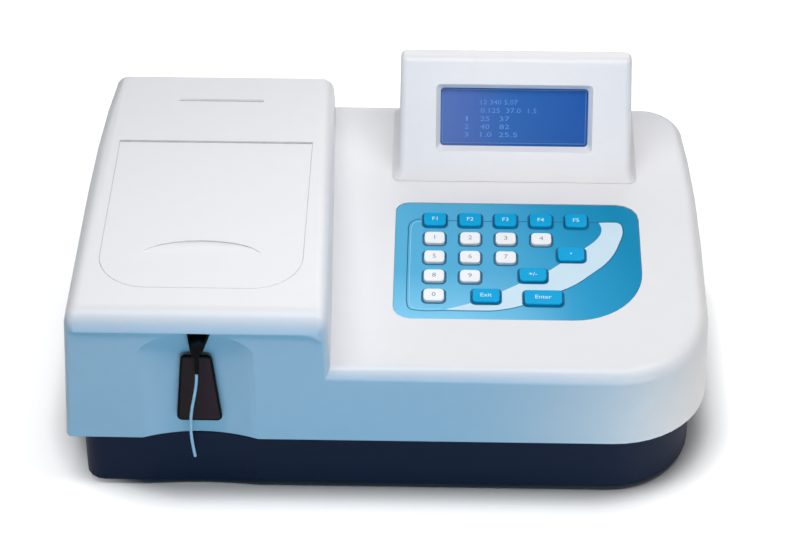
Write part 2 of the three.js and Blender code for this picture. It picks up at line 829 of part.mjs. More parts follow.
// Upper cover: one moulded shell of deck and tower, open below
function upperCover() {
  const deck = caseBody(casePlan, deckTop, deckFillets, 0, coverBottom, filletSteps);
  const tower = caseBody(towerPlan, towerTop, towerFillets, 0, coverBottom, filletSteps);
  const below = coverBottom - overrun;
  const deckRoom = caseBody(casePlan, deckTop, deckFillets, wall, below, innerFilletSteps);
  const facePlan = { ...towerPlan, front: faceY };
  const towerRoom = caseBody(facePlan, towerTop, towerFillets, wall, below, innerFilletSteps);
  const faceCut = solid(standingPlate(roundedOutline(
    [[left - overrun, below], [towerRight - wall, below],
      [towerRight - wall, faceTop], [left - overrun, faceTop]],
    [0, 0, faceCornerRadius, 0], smallSteps * 2), overrun).translate(0, faceY, 0));
  const lowTop = deckFrontHeight - deckFrontFillet;
  const lowFace = solid(block(left - overrun, right, front - overrun, faceY, below, lowTop));
  const shell = cut(join(deck, tower), faceCut, lowFace);
  const room = cut(join(deckRoom, towerRoom), nicheSolid(wall));
  const bosses = [-1, 1].map((side) => {
    const start = side * (lidWidth / 2 + lidGroove);
    const [x0, x1] = [start, start + side * hingeBossLength].sort((a, b) => a - b);
    return placedSolid(block(x0, x1, hingeY - hingeBossHalfWidth, hingeY + hingeBossHalfWidth,
      -wall - hingeBossDepth, -wall / 2), towerFrame.matrixWorld);
  });
  const posts = padPostPlaces().map(([x, y]) => placedSolid(
    drum(padPostRadius, boardTopDepth - wall / 2 - gap, holeSides).translate(x, y, gap - boardTopDepth),
    deckFrame.matrixWorld));
  const body = join(cut(shell, room), ...bosses, ...posts);
  return cut(body, nicheSolid(0), ...coverOpenings());
}

function padPostPlaces() {
  const x = padWidth / 2 - padPostInset;
  const y = padLength / 2 - padPostInset;
  return [[padX - x, padY - y], [padX - x, padY + y], [padX + x, padY + y]];
}

function coverOpenings() {
  const tower = towerFrame.matrixWorld;
  const deck = deckFrame.matrixWorld;
  const deep = wall + overrun;
  const openings = [
    placedSolid(plate(lidOutline(lidGroove), deep * 2).translate(0, 0, -deep), tower),
    placedSolid(plate(rectangle(slotWidth, slotDepth, slotDepth / 2 - gap, 0, slotY), deep * 2)
      .translate(0, 0, -deep), tower),
    placedSolid(drumAlongX(hingePinRadius + gap, hingePinHalf * 2 + gap * 2, holeSides)
      .translate(-hingePinHalf - gap, hingeY, -hingeKnuckleRadius), tower),
    placedSolid(plate(padOutline(gap), overrun).translate(0, 0, -padRecess), deck),
    solid(drumAlongY(plateStemHoleRadius, wall + overrun * 2, holeSides)
      .translate(nicheX, nicheY - overrun, plateBottomHeight + plateStemHeight)),
    solid(drum(nozzleStemRadius + nozzleStemClearance, nozzleStemLength + nozzleStemClearance, holeSides)
      .translate(nozzleX + nozzleTopShift, nozzleY, nozzleTopZ)),
    placedSolid(plate(
      rectangle(cableHoleWidth, cableHoleLength, wall, hoodX, hoodY + hoodFootDepth / 2), deep * 2)
      .translate(0, 0, -deep), deck),
  ];
  for (const key of keys) {
    const hole = plate(keyOutline(key, keyClearance, 2), deep * 2).translate(0, 0, -deep);
    openings.push(placedSolid(hole, deck));
  }
  for (let i = 0; i < grilleSlotCount; i += 1) {
    const height = (i - (grilleSlotCount - 1) / 2) * grilleSlotPitch;
    const reach = fanBoreRadius ** 2 - (Math.abs(height) + grilleSlotHeight / 2) ** 2;
    const slot = rectangle(Math.sqrt(reach) * 2, grilleSlotHeight, grilleSlotHeight / 2 - gap, 0, height, 2);
    openings.push(placedSolid(standingPlate(slot, deep * 2).translate(0, deep, 0), rearFrame.matrixWorld));
  }
  return openings;
}

// Base tray: a dark tub with a flange at its top, hollowed in front of the niche
function baseTray() {
  const plan = {
    ...casePlan, front, frontLeftRadius: baseSideSetback * 2, frontRightRadius, backRightRadius,
    backLeftRadius: baseSideSetback * 2,
  };
  const ringAt = (inset, backInset, height) => {
    const set = {
      left: baseSideSetback + inset, right: baseSideSetback + inset,
      front: baseFrontSetback + inset, back: baseBackSetback + backInset,
    };
    return planOutline(plan, set).map((point) => new THREE.Vector3(point.x, point.y, height));
  };
  const rings = [];
  for (let step = 0; step <= smallSteps; step += 1) {
    const angle = quarter * step / smallSteps;
    const share = 1 - Math.sin(angle);
    const height = baseBottom + baseBottomFillet * (1 - Math.cos(angle));
    rings.push(ringAt(baseBottomFillet * share, baseBottomBackFillet * share, height));
  }
  rings.push(ringAt(0, 0, baseTop));
  const flangeBottom = baseTop - baseFlangeDepth;
  const room = solid(loft([
    ringAt(baseWall * 2, baseWall, baseFloor),
    ringAt(baseWall, baseWall, baseFloor + baseWall),
    ringAt(baseWall, baseWall, flangeBottom - baseFlangeWidth + baseWall),
    ringAt(baseFlangeWidth, baseFlangeWidth, flangeBottom),
    ringAt(baseFlangeWidth, baseFlangeWidth, baseTop + overrun),
  ]));
  const post = drum(boardPostRadius, boardPostHeight + wall / 2, holeSides);
  const posts = mainBoardCorners().map(([x, y]) => solid(post.clone().translate(x, y, baseFloor - wall / 2)));
  const lineY = front + baseFrontSetback;
  const hollow = solid(plate(hollowFront(nicheHalfWidth, baseScoopDepth, lineY), baseTop + overrun));
  const openings = [
    standingPlate(rectangle(inletBodyWidth + gap * 2, inletBodyHeight + gap * 2, 0, inletX, socketHeight),
      overrun * 3).translate(0, baseBackY + overrun, 0),
    standingPlate(rectangle(serialBodyWidth + gap * 2, serialBodyHeight + gap * 2, 0, serialX, socketHeight),
      overrun * 3).translate(0, baseBackY + overrun, 0),
    drumAlongY(wasteThreadRadius + gap, overrun * 3, holeSides)
      .translate(wasteX, baseBackY - overrun * 2, socketHeight),
  ];
  return cut(join(cut(solid(loft(rings)), room), ...posts), hollow, ...openings.map(solid));
}
const inletX = right - inletRightInset;
const serialX = right - serialRightInset;
const serialBodyWidth = serialShellWidth + serialFlangeThickness * 2;
const serialBodyHeight = serialShellHeight + serialFlangeThickness * 2;
const wasteX = left + wasteLeftInset;

function mainBoardCorners() {
  const x0 = mainBoardLeft + mainBoardPostInset;
  const x1 = mainBoardLeft + mainBoardWidth - mainBoardPostInset;
  const y0 = mainBoardFront + mainBoardPostInset;
  const y1 = mainBoardFront + mainBoardLength - mainBoardPostInset;
  return [[x0, y0], [x1, y0], [x1, y1], [x0, y1]];
}

function foot() {
  const height = baseBottom - gap;
  return new THREE.LatheGeometry([
    new THREE.Vector2(0, 0), new THREE.Vector2(footTopRadius, 0), new THREE.Vector2(footRadius, height / 3),
    new THREE.Vector2(footTopRadius, height), new THREE.Vector2(0, height),
  ], holeSides).rotateX(quarter);
}

// Lid: a plate flush with the tower top, a rib under it, a finger scoop and the hinge knuckle
function serviceLid() {
  const corners = lidOutline(0).map((point) => new THREE.Vector2(point.x, Math.min(point.y, hingeY)));
  const top = solid(plate(corners, wall).translate(0, 0, -wall));
  const knuckle = solid(drumAlongX(hingeKnuckleRadius, lidWidth, roundSides)
    .translate(-lidWidth / 2, hingeY, -hingeKnuckleRadius));
  const ribWidth = lidWidth - lidRibInset * 2;
  const ribFront = lidFrontY + lidRibInset;
  const ribLength = lidBackY - lidRibBackInset - ribFront;
  const ribRadius = lidCornerRadius - lidRibInset;
  const ribY = ribFront + ribLength / 2;
  const ribRadii = [ribRadius, ribRadius, lidRibWidth, lidRibWidth];
  const hole = rectangle(ribWidth - lidRibWidth * 2, ribLength - lidRibWidth * 2,
    ribRadii.map((radius) => Math.max(radius - lidRibWidth, leastRadius)), 0, ribY);
  const rib = solid(plate(rectangle(ribWidth, ribLength, ribRadii, 0, ribY), lidRibDepth + wall / 2, [hole])
    .translate(0, 0, -wall - lidRibDepth));
  const bore = solid(drumAlongX(hingePinRadius + gap, lidWidth + overrun * 2, holeSides)
    .translate(-lidWidth / 2 - overrun, hingeY, -hingeKnuckleRadius));
  return cut(join(top, knuckle, rib), bore, scoop());
}

// Finger scoop: deepest at the middle of its curved back edge, flush along its front
function scoop() {
  const ringAt = (heightAt) => Array.from({ length: fineSteps + 1 }, (_, step) => {
    const angle = 2 * quarter * step / fineSteps;
    const share = Math.sin(angle);
    const y = lidFrontY + scoopFront + scoopLength * share;
    return new THREE.Vector3(scoopHalfWidth * Math.cos(angle), y, heightAt(share));
  });
  return solid(loft([ringAt((share) => -scoopDepth * share), ringAt(() => overrun)]));
}

// Bay liner: a tub under the lid with the cheeks that hold the paper roll
function bayLiner() {
  const outerHalf = lidWidth / 2 - bayWallInset + bayWall;
  const y0 = lidFrontY + bayWallInset - bayWall;
  const y1 = back - bayBackInset;
  const middle = (y0 + y1) / 2;
  const top = -wall - gap;
  const outer = rectangle(outerHalf * 2, y1 - y0, bayCornerRadius, 0, middle);
  const inner = rectangle((outerHalf - bayWall) * 2, y1 - y0 - bayWall * 2, bayCornerRadius - bayWall, 0,
    middle);
  const tub = cut(
    solid(plate(outer, bayDepth + bayWall + top).translate(0, 0, -bayDepth - bayWall)),
    solid(plate(inner, bayDepth + overrun).translate(0, 0, -bayDepth)));
  const pieces = [tub];
  for (const side of [-1, 1]) {
    const inside = side * (rollWidth / 2 + cheekGap);
    const [x0, x1] = [inside, inside + side * cheekThickness].sort((a, b) => a - b);
    const foot = -bayDepth - bayWall / 2;
    const top = stubRadius + bayWall - rollAxisDepth;
    const topHalf = stubRadius + cheekThickness;
    const cheek = roundedOutline(
      [[-cheekWidth / 2, foot], [cheekWidth / 2, foot], [topHalf, top], [-topHalf, top]],
      [0, 0, cheekThickness, cheekThickness]);
    pieces.push(solid(bar(cheek, x1 - x0).translate(x0, rollAxisY, 0)));
    const stub = drumAlongX(stubRadius, stubLength + cheekThickness / 2, holeSides);
    const stubStart = side > 0 ? inside - stubLength : inside - cheekThickness / 2;
    pieces.push(solid(stub.translate(stubStart, rollAxisY, -rollAxisDepth)));
  }
  const beamHole = drumAlongX(beamRadius + gap, bayWall + overrun, holeSides)
    .translate(outerHalf - bayWall - overrun / 2, cellBlockY, beamHeight - bayDepth);
  const shaftHole = drum(pumpShaftHoleRadius, bayWall + overrun, holeSides)
    .translate(pumpCentreX, pumpCentreY, -bayDepth - bayWall - overrun / 2);
  const lineHole = drum(grommetHoleRadius, bayWall + overrun, holeSides)
    .translate(lineExitX, lineExitY, -bayDepth - bayWall - overrun / 2);
  const knuckleReach = hingeKnuckleRadius + gap * 2;
  const notch = block(-lidWidth, lidWidth, hingeY - knuckleReach, hingeY + knuckleReach,
    -hingeKnuckleRadius - knuckleReach, 0);
  return cut(join(...pieces), solid(beamHole), solid(shaftHole), solid(lineHole), solid(notch));
}
const lineExitX = pumpCentreX + pumpBodySize / 2 + overrun * 2;
const lineExitY = pumpCentreY - lineLoopRadius;
const seat = gap - bayDepth;

function paperRoll() {
  return cut(
    solid(drumAlongX(rollRadius, rollWidth, roundSides * 2)),
    solid(drumAlongX(rollBoreRadius, rollWidth + overrun * 2, holeSides).translate(-overrun, 0, 0)),
  );
}

function printerFrame() {
  const inside = platenLength / 2 + printHeadGap;
  const outside = inside + printerCheekThickness;
  const plateTop = seat + printerPlateThickness;
  const pieces = [solid(block(-outside, outside, printerFront, printerBack, seat, plateTop))];
  for (const side of [-1, 1]) {
    const [x0, x1] = [side * inside, side * outside].sort((a, b) => a - b);
    const foot = seat + printerPlateThickness / 2;
    const topFront = platenAxisY - platenRadius - overrun;
    const cheek = roundedOutline(
      [[printerFront, foot], [printerBack, foot],
        [printerBack, -printerTopDepth], [topFront, -printerTopDepth]],
      [0, 0, overrun, overrun]);
    pieces.push(solid(bar(cheek, x1 - x0).translate(x0, 0, 0)));
  }
  const headFront = platenAxisY + platenRadius + printHeadGap;
  const head = block(-inside - printerLap, inside + printerLap, headFront, headFront + printHeadThickness,
    -platenAxisDepth - printHeadHeight, -platenAxisDepth + platenRadius);
  const motor = block(-inside - printerLap, inside + printerLap, printerBodyFront, printerBodyBack,
    seat + printerPlateThickness / 2, seat + printerBodyHeight);
  const axleHole = drumAlongX(platenAxleRadius + axleClearance, outside * 2 + overrun, holeSides)
    .translate(-outside - overrun / 2, platenAxisY, -platenAxisDepth);
  return cut(join(...pieces, solid(head), solid(motor)), solid(axleHole));
}

function platenRoller() {
  const outside = platenLength / 2 + printHeadGap + printerCheekThickness;
  return join(
    solid(drumAlongX(platenRadius, platenLength, roundSides).translate(-platenLength / 2, 0, 0)),
    solid(drumAlongX(platenAxleRadius, outside * 2, holeSides).translate(-outside, 0, 0)),
  );
}

// Pump head: a cup with a round bore, open towards the line's two legs
function pumpHousing() {
  const body = solid(plate(rectangle(pumpBodySize, pumpBodySize, pumpBodyRadius), pumpBodyHeight));
  const bore = solid(drum(pumpBoreRadius, pumpBodyHeight, roundSides).translate(0, 0, pumpFloor));
  const shaftHole = drum(pumpShaftHoleRadius, pumpFloor + overrun * 2, holeSides);
  const shaft = solid(shaftHole.translate(0, 0, -overrun));
  const legs = [-1, 1].map((side) => {
    const slotY0 = side * lineLoopRadius - lineRadius - lineSlotClearance;
    const slotY1 = side * lineLoopRadius + lineRadius + lineSlotClearance;
    return solid(block(0, pumpBodySize, slotY0, slotY1, lineHeight - lineRadius - lineSlotClearance,
      pumpBodyHeight + overrun));
  });
  return cut(body, bore, shaft, ...legs);
}

function pumpRotor() {
  const hub = solid(drum(pumpRotorRadius, pumpRotorHeight, holeSides));
  const rollers = [];
  for (let i = 0; i < rollerCount; i += 1) {
    const angle = 4 * quarter * i / rollerCount;
    rollers.push(solid(drum(rollerRadius, pumpRotorHeight - gap, holeSides)
      .translate(rollerPitch * Math.cos(angle), rollerPitch * Math.sin(angle), 0)));
  }
  const bore = solid(drum(pumpShaftRadius + gap, pumpRotorHeight, holeSides).translate(0, 0, -wall));
  return cut(join(hub, ...rollers), bore);
}

function pumpMotor() {
  const shaftLength = bayWall + pumpFloor + pumpShaftReach;
  return join(
    solid(drum(pumpMotorRadius, pumpMotorLength, roundSides).translate(0, 0, -pumpMotorLength)),
    solid(drum(pumpShaftRadius, shaftLength + wall / 2, holeSides).translate(0, 0, -wall / 2)),
  );
}

// Silicone line in the tower frame: from the flow cell block round the pump, then to the waste fitting
function pumpLine() {
  const z = seat + lineHeight;
  const toTower = new THREE.Matrix4().copy(towerFrame.matrixWorld).invert();
  const fitting = new THREE.Vector3(wasteX, baseBackY - baseWall - wasteInnerLength - gap * 2, socketHeight)
    .applyMatrix4(toTower);
  const points = [];
  const push = (x, y, height) => points.push(new THREE.Vector3(x, y, height));
  push(cellBlockX0() - gap, pumpCentreY + lineLoopRadius, z);
  push(pumpCentreX + pumpBodySize / 2, pumpCentreY + lineLoopRadius, z);
  push(pumpCentreX + pumpBodySize / 4, pumpCentreY + lineLoopRadius, z);
  for (let step = 0; step <= smallSteps * 2; step += 1) {
    const angle = quarter + 2 * quarter * step / (smallSteps * 2);
    push(pumpCentreX + lineLoopRadius * Math.cos(angle), pumpCentreY + lineLoopRadius * Math.sin(angle), z);
  }
  push(pumpCentreX + pumpBodySize / 4, lineExitY, z);
  push(lineExitX - overrun * 2, lineExitY, z);
  push(lineExitX, lineExitY, z - overrun * 2);
  push(lineExitX, lineExitY, seat - overrun * 2);
  push(lineExitX, lineExitY + overrun, seat - bayDepth / 3);
  push(fitting.x / 2, lineExitY + lidLength / 3, seat - bayDepth / 3);
  push(fitting.x, fitting.y - lidLength / 3, fitting.z + overrun * 2);
  push(fitting.x, fitting.y - overrun * 3, fitting.z);
  push(fitting.x, fitting.y, fitting.z);
  const curve = new THREE.CatmullRomCurve3(points, false, 'centripetal');
  const section = new THREE.Shape(ringPoints(lineRadius, lineSides));
  return new THREE.ExtrudeGeometry(section, { steps: lineSteps, bevelEnabled: false, extrudePath: curve });
}
const ringPoints = (radius, sides) => Array.from({ length: sides }, (_, i) => {
  const angle = 4 * quarter * i / sides;
  return new THREE.Vector2(radius * Math.cos(angle), radius * Math.sin(angle));
});
const cellBlockX1 = () => lidWidth / 2 - bayWallInset - gap;
const cellBlockX0 = () => cellBlockX1() - cellBlockLength;
const cellX = () => (cellBlockX0() + cellBlockX1()) / 2;

// Flow cell block: drilled for the beam, with a square pocket for the cell
function flowCellBlock() {
  const y0 = cellBlockY - cellBlockWidth / 2;
  const y1 = cellBlockY + cellBlockWidth / 2;
  const body = solid(block(cellBlockX0(), cellBlockX1(), y0, y1, seat, seat + cellBlockHeight));
  const half = cellSize / 2 + gap;
  const pocket = block(cellX() - half, cellX() + half, cellBlockY - half, cellBlockY + half,
    seat + cellFloor, seat + cellBlockHeight + overrun);
  const beam = drumAlongX(beamRadius, cellBlockLength + overrun * 2, holeSides)
    .translate(cellBlockX0() - overrun, cellBlockY, beamHeight - bayDepth);
  return cut(body, solid(pocket), solid(beam));
}

function flowCell() {
  const bottom = seat + cellFloor + gap;
  const half = cellSize / 2;
  const body = block(cellX() - half, cellX() + half, cellBlockY - half, cellBlockY + half,
    bottom, bottom + cellHeight);
  const port = drum(cellPortRadius, cellPortHeight + wall, holeSides)
    .translate(cellX(), cellBlockY, bottom + cellHeight - wall);
  const bore = drum(cellBoreRadius / 2, cellHeight + cellPortHeight, holeSides)
    .translate(cellX(), cellBlockY, bottom + wall);
  return cut(join(solid(body), solid(port)), solid(bore));
}

function photoDetector() {
  const x1 = cellBlockX0() - gap;
  const body = block(x1 - detectorLength, x1, cellBlockY - detectorWidth / 2, cellBlockY + detectorWidth / 2,
    seat, seat + detectorHeight);
  const eye = drumAlongX(beamRadius, overrun, holeSides)
    .translate(x1 - overrun / 2, cellBlockY, beamHeight - bayDepth);
  return cut(solid(body), solid(eye));
}

// The light beam runs along X: its height and depth in the case
const beam = new THREE.Vector3(0, cellBlockY, beamHeight - bayDepth).applyMatrix4(towerFrame.matrixWorld);

function opticalBench() {
  const y0 = beam.y - benchHalfWidth;
  const y1 = beam.y + benchHalfWidth;
  const pieces = [block(benchLeft, benchRight, y0, y1, benchTop - benchThickness, benchTop)];
  for (const x of [benchLeft, benchRight - benchLegSize]) {
    for (const y of [y0, y1 - benchLegSize]) {
      const legTop = benchTop - benchThickness / 2;
      pieces.push(block(x, x + benchLegSize, y, y + benchLegSize, baseFloor + gap, legTop));
    }
  }
  const saddleTop = wheelZ - filterMotorSize / 2 - gap;
  pieces.push(block(filterMotorX0, filterMotorX0 + filterMotorLength, beam.y - saddleHalfWidth,
    beam.y + saddleHalfWidth, benchTop - benchThickness / 2, saddleTop));
  return join(...pieces.map(solid));
}
const wheelZ = beam.z - wheelPitch;
const benchTop = wheelZ - wheelRadius - benchWheelGap;
const filterMotorX0 = wheelPlace - wheelThickness / 2 - gap * 2 - filterMotorLength;

function lampHousing() {
  const x0 = lampHousingLeft;
  const x1 = x0 + lampHousingLength;
  const bottom = benchTop + gap;
  const half = lampHousingHalfWidth;
  const body = block(x0, x1, beam.y - half, beam.y + half, bottom, lampTop);
  const nose = drumAlongX(lensTubeRadius, lensTubeLength + wall, roundSides)
    .translate(x0 - lensTubeLength, beam.y, beam.z);
  const cavity = drumAlongX(lampCavityRadius, lampCavityLength + overrun, roundSides)
    .translate(x1 - lampCavityLength, beam.y, beam.z);
  const lensBore = drumAlongX(lensBoreRadius, lampHousingLength + lensTubeLength, holeSides)
    .translate(x0 - lensTubeLength - overrun, beam.y, beam.z);
  return cut(join(solid(body), solid(nose)), solid(cavity), solid(lensBore));
}

function halogenLamp() {
  const x1 = lampHousingLeft + lampHousingLength;
  const bulbProfile = [new THREE.Vector2(0, 0)];
  for (let step = 0; step <= smallSteps; step += 1) {
    const angle = quarter * step / smallSteps;
    bulbProfile.push(new THREE.Vector2(bulbRadius * Math.sin(angle), bulbRadius * (1 - Math.cos(angle))));
  }
  bulbProfile.push(new THREE.Vector2(bulbRadius, bulbLength), new THREE.Vector2(0, bulbLength));
  const bulb = new THREE.LatheGeometry(bulbProfile, holeSides).rotateX(quarter).rotateY(quarter);
  const base = drumAlongX(lampBaseRadius, lampBaseLength, roundSides);
  return join(
    solid(base.translate(x1 - lampBaseLength, beam.y, beam.z)),
    solid(bulb.translate(x1 - lampBaseLength - bulbLength + overrun, beam.y, beam.z)),
  );
}

function filterWheel() {
  const holes = [];
  for (let i = 0; i < filterCount; i += 1) {
    const angle = quarter + 4 * quarter * i / filterCount;
    const centre = new THREE.Vector2(wheelPitch * Math.cos(angle), wheelPitch * Math.sin(angle));
    holes.push(ringPoints(filterRadius, holeSides).map((point) => point.add(centre)));
  }
  holes.push(ringPoints(filterShaftRadius + gap, holeSides));
  return plate(ringPoints(wheelRadius, roundSides * 2), wheelThickness, holes).applyMatrix4(sideTurn);
}

function filterMotor() {
  const half = filterMotorSize / 2;
  const body = bar(rectangle(filterMotorSize, filterMotorSize, half / 2), filterMotorLength);
  const shaft = drumAlongX(filterShaftRadius, filterShaftReach + wall, holeSides);
  return join(solid(body), solid(shaft.translate(filterMotorLength - wall, 0, 0)));
}

// Nozzle: a funnel that hangs from the niche's ceiling and ends in a thin tip over the plate
function sipperNozzle() {
  const ringAt = (x, y, width, depth, z) => ringPoints(1, holeSides)
    .map((point) => new THREE.Vector3(x + squared(point.x) * width / 2, y + squared(point.y) * depth / 2, z));
  const squared = (share) => Math.sign(share) * Math.sqrt(Math.abs(share));
  const tipWidth = nozzleTipRadius * 2;
  const round = (x, y, z) => ringPoints(nozzleTipRadius, holeSides)
    .map((point) => new THREE.Vector3(x + point.x, y + point.y, z));
  const tipTop = plateBottomHeight + plateHeight + tipPlateGap;
  const neckZ = nozzleTopZ - nozzleNeckDrop;
  const endY = tipY + nozzleEndDepth / 2 - nozzleTipRadius;
  const body = loft([
    ringAt(nozzleX + nozzleTopShift, nozzleY, nozzleTopWidth, nozzleTopDepth, nozzleTopZ),
    ringAt(nozzleX + nozzleTopShift / 3, nozzleY, nozzleNeckWidth, nozzleNeckDepth, neckZ),
    ringAt(nozzleX, endY, nozzleEndWidth, nozzleEndDepth, nozzleTopZ - nozzleHeight),
    round(nozzleX, tipY, tipTop),
    round(nozzleX, tipY, tipTop - nozzleTipLength + tipWidth / 2),
  ]);
  const stem = drum(nozzleStemRadius, nozzleStemLength + wall / 2, holeSides)
    .translate(nozzleX + nozzleTopShift, nozzleY, nozzleTopZ - wall / 2);
  return join(solid(body), solid(stem));
}

// Free end of the sample tube: it hangs in front of the push plate. Points chosen by hand.
const tubePoints = [
  [-122, -135.2, 99.3], [-122.1, -135.2, 96], [-122.6, -135.1, 91], [-123.3, -135, 86],
  [-124.3, -134.9, 80.5], [-125.4, -134.8, 75], [-126.5, -134.7, 69], [-127.3, -134.7, 63],
  [-127.8, -134.7, 57], [-128, -134.7, 51], [-127.8, -134.8, 45], [-127.4, -134.8, 39.5],
  [-126.8, -134.9, 34], [-126.2, -135, 29],
];
function sipperTube() {
  const curve = new THREE.CatmullRomCurve3(tubePoints.map((point) => new THREE.Vector3(...point)));
  const section = new THREE.Shape(ringPoints(tubeRadius, tubeSides));
  return new THREE.ExtrudeGeometry(section, { steps: tubeSteps, bevelEnabled: false, extrudePath: curve });
}

function sipperPlate() {
  const outline = roundedOutline([
    [-plateBottomWidth / 2, 0], [plateBottomWidth / 2, 0],
    [plateTopWidth / 2, plateHeight], [-plateTopWidth / 2, plateHeight],
  ], plateCornerRadius);
  const face = solid(standingPlate(outline, plateThickness)
    .translate(nicheX, plateFrontY + plateThickness, plateBottomHeight));
  const stemLength = plateTravel + gap + wall + overrun;
  const stem = solid(drumAlongY(plateStemRadius, stemLength + plateThickness / 2, holeSides)
    .translate(nicheX, plateFrontY + plateThickness / 2, plateBottomHeight + plateStemHeight));
  return join(face, stem);
}

function sipperSwitch() {
  const plateEnd = plateFrontY + plateThickness + plateTravel + gap + wall + overrun;
  const z = plateBottomHeight + plateStemHeight + switchHeight / 2;
  const seatY = lidFrontY + bayWallInset - bayWall + Math.tan(towerTilt) * (towerTop(0) - z) - gap;
  return block(nicheX - switchWidth / 2, nicheX + switchWidth / 2, plateEnd + plateTravel + gap, seatY,
    z - switchHeight, z);
}

// Key: a cap with a soft edge on a stem, and a flange that keeps it under the deck
function keyCap(key) {
  const flangeTop = -keyBottomDepth + keyFlangeThickness;
  const levels = [
    [keyFlange, -keyBottomDepth], [keyFlange, flangeTop], [0, flangeTop],
    [0, keyRise - keyEdge], [-keyEdge / 3, keyRise - keyEdge / 3], [-keyEdge, keyRise],
  ];
  const rings = levels.map(([grow, z]) => {
    return keyOutline({ ...key, x: 0, y: 0 }, grow, 2).map((point) => new THREE.Vector3(point.x, point.y, z));
  });
  return loft(rings);
}

function keypadOverlay() {
  const holes = keys.map((key) => keyOutline(key, keyClearance, 2));
  return plate(padOutline(0), padThickness, holes).translate(0, 0, gap - padRecess);
}

function keypadBoard() {
  const outline = rectangle(padWidth - padPostInset, padLength - padPostInset, boardMargin, padX, padY);
  return plate(outline, boardThickness).translate(0, 0, -boardTopDepth - boardThickness);
}

// Display hood: a leaning wedge on the deck, hollow and open below
function hoodRing(height, inset, flareShare) {
  const share = height / hoodHeight;
  const width = hoodBottomWidth + (hoodTopWidth - hoodBottomWidth) * share;
  const halfWidth = width / 2 - inset + hoodFlare * flareShare;
  const y0 = hoodY + hoodFaceRun * share + inset;
  const y1 = hoodY + hoodFootDepth - hoodBackRun * share - inset + hoodFlare * flareShare / 2;
  const radius = Math.max(hoodCornerRadius - inset, leastRadius);
  const outline = rectangle(halfWidth * 2, y1 - y0, radius, hoodX, (y0 + y1) / 2);
  return outline.map((point) => new THREE.Vector3(point.x, point.y, deckTop(point.y) + height));
}

function displayHood() {
  const rings = [];
  for (let step = 0; step <= smallSteps; step += 1) {
    const share = step / smallSteps;
    rings.push(hoodRing(gap + (hoodFlareHeight - gap) * share, 0, (1 - share) ** 2));
  }
  for (let step = 0; step <= smallSteps; step += 1) {
    const angle = quarter * step / smallSteps;
    const height = hoodHeight - hoodTopFillet * (1 - Math.sin(angle));
    rings.push(hoodRing(height, hoodTopFillet * (1 - Math.cos(angle)), 0));
  }
  const room = solid(loft([hoodRing(-overrun, hoodWall, 0), hoodRing(hoodHeight - hoodWall, hoodWall, 0)]));
  const frame = hoodFrame.matrixWorld;
  const surround = placedSolid(plate(rectangle(bezelWidth + bezelFrame * 2, bezelHeight + bezelFrame * 2, 0,
    -lcdSideShift, lcdRise), bezelDepth + overrun).translate(0, 0, -bezelDepth), frame);
  const opening = (width, height, z) => rectangle(width, height, hoodWall, -lcdSideShift, lcdRise)
    .map((point) => new THREE.Vector3(point.x, point.y, z));
  const slope = (bezelWidth - lcdWidth) / bezelDepth;
  const mouth = loft([
    opening(lcdWidth - slope * mouthRise, lcdHeight - slope * mouthRise, -bezelDepth - mouthRise),
    opening(bezelWidth + slope * mouthRise, bezelHeight + slope * mouthRise, mouthRise),
  ]);
  return cut(solid(loft(rings)), cut(room, surround), placedSolid(mouth, frame));
}

function lcdWindow() {
  const outline = rectangle(bezelWidth, bezelHeight, 0, -lcdSideShift, lcdRise);
  return plate(outline, windowThickness).translate(0, 0, -bezelDepth - gap - windowThickness);
}

function lcdModule() {
  const width = lcdWidth + moduleMargin * 2;
  const height = lcdHeight + moduleMargin * 2;
  return plate(rectangle(width, height, 0, -lcdSideShift, lcdRise), moduleDepth)
    .translate(0, 0, -bezelDepth - gap * 2 - windowThickness - moduleDepth);
}

// Fan parts, in the frame of the rear wall: y 0 is the wall's outside
function fanFrameSolid() {
  const outline = rectangle(fanSize, fanSize, overrun, 0, 0);
  const bore = drumAlongY(fanBoreRadius, fanDepth + overrun * 2, roundSides * 2);
  const body = cut(solid(standingPlate(outline, fanDepth)), solid(bore.translate(0, -fanDepth - overrun, 0)));
  const pieces = [solid(drumAlongY(fanHubRadius, fanPlateThickness, roundSides).translate(0, -fanDepth, 0))];
  const reach = fanSize / 2 - fanArmWidth / 2;
  const half = fanArmWidth / 2;
  pieces.push(solid(block(-reach, reach, -fanDepth, -fanDepth + fanPlateThickness, -half, half)));
  pieces.push(solid(block(-half, half, -fanDepth, -fanDepth + fanPlateThickness, -reach, reach)));
  return join(body, ...pieces);
}

function fanRotor() {
  const length = fanDepth - fanPlateThickness - gap * 6;
  const pieces = [solid(drumAlongY(fanHubRadius - gap, length, roundSides))];
  for (let i = 0; i < fanBladeCount; i += 1) {
    const blade = block(-fanBladeThickness / 2, fanBladeThickness / 2, -fanBladeWidth / 2, fanBladeWidth / 2,
      fanHubRadius - wall, fanBladeRadius).rotateZ(fanBladeLeanShare * quarter).translate(0, length / 2, 0);
    pieces.push(solid(blade.rotateY(4 * quarter * i / fanBladeCount)));
  }
  return join(...pieces);
}

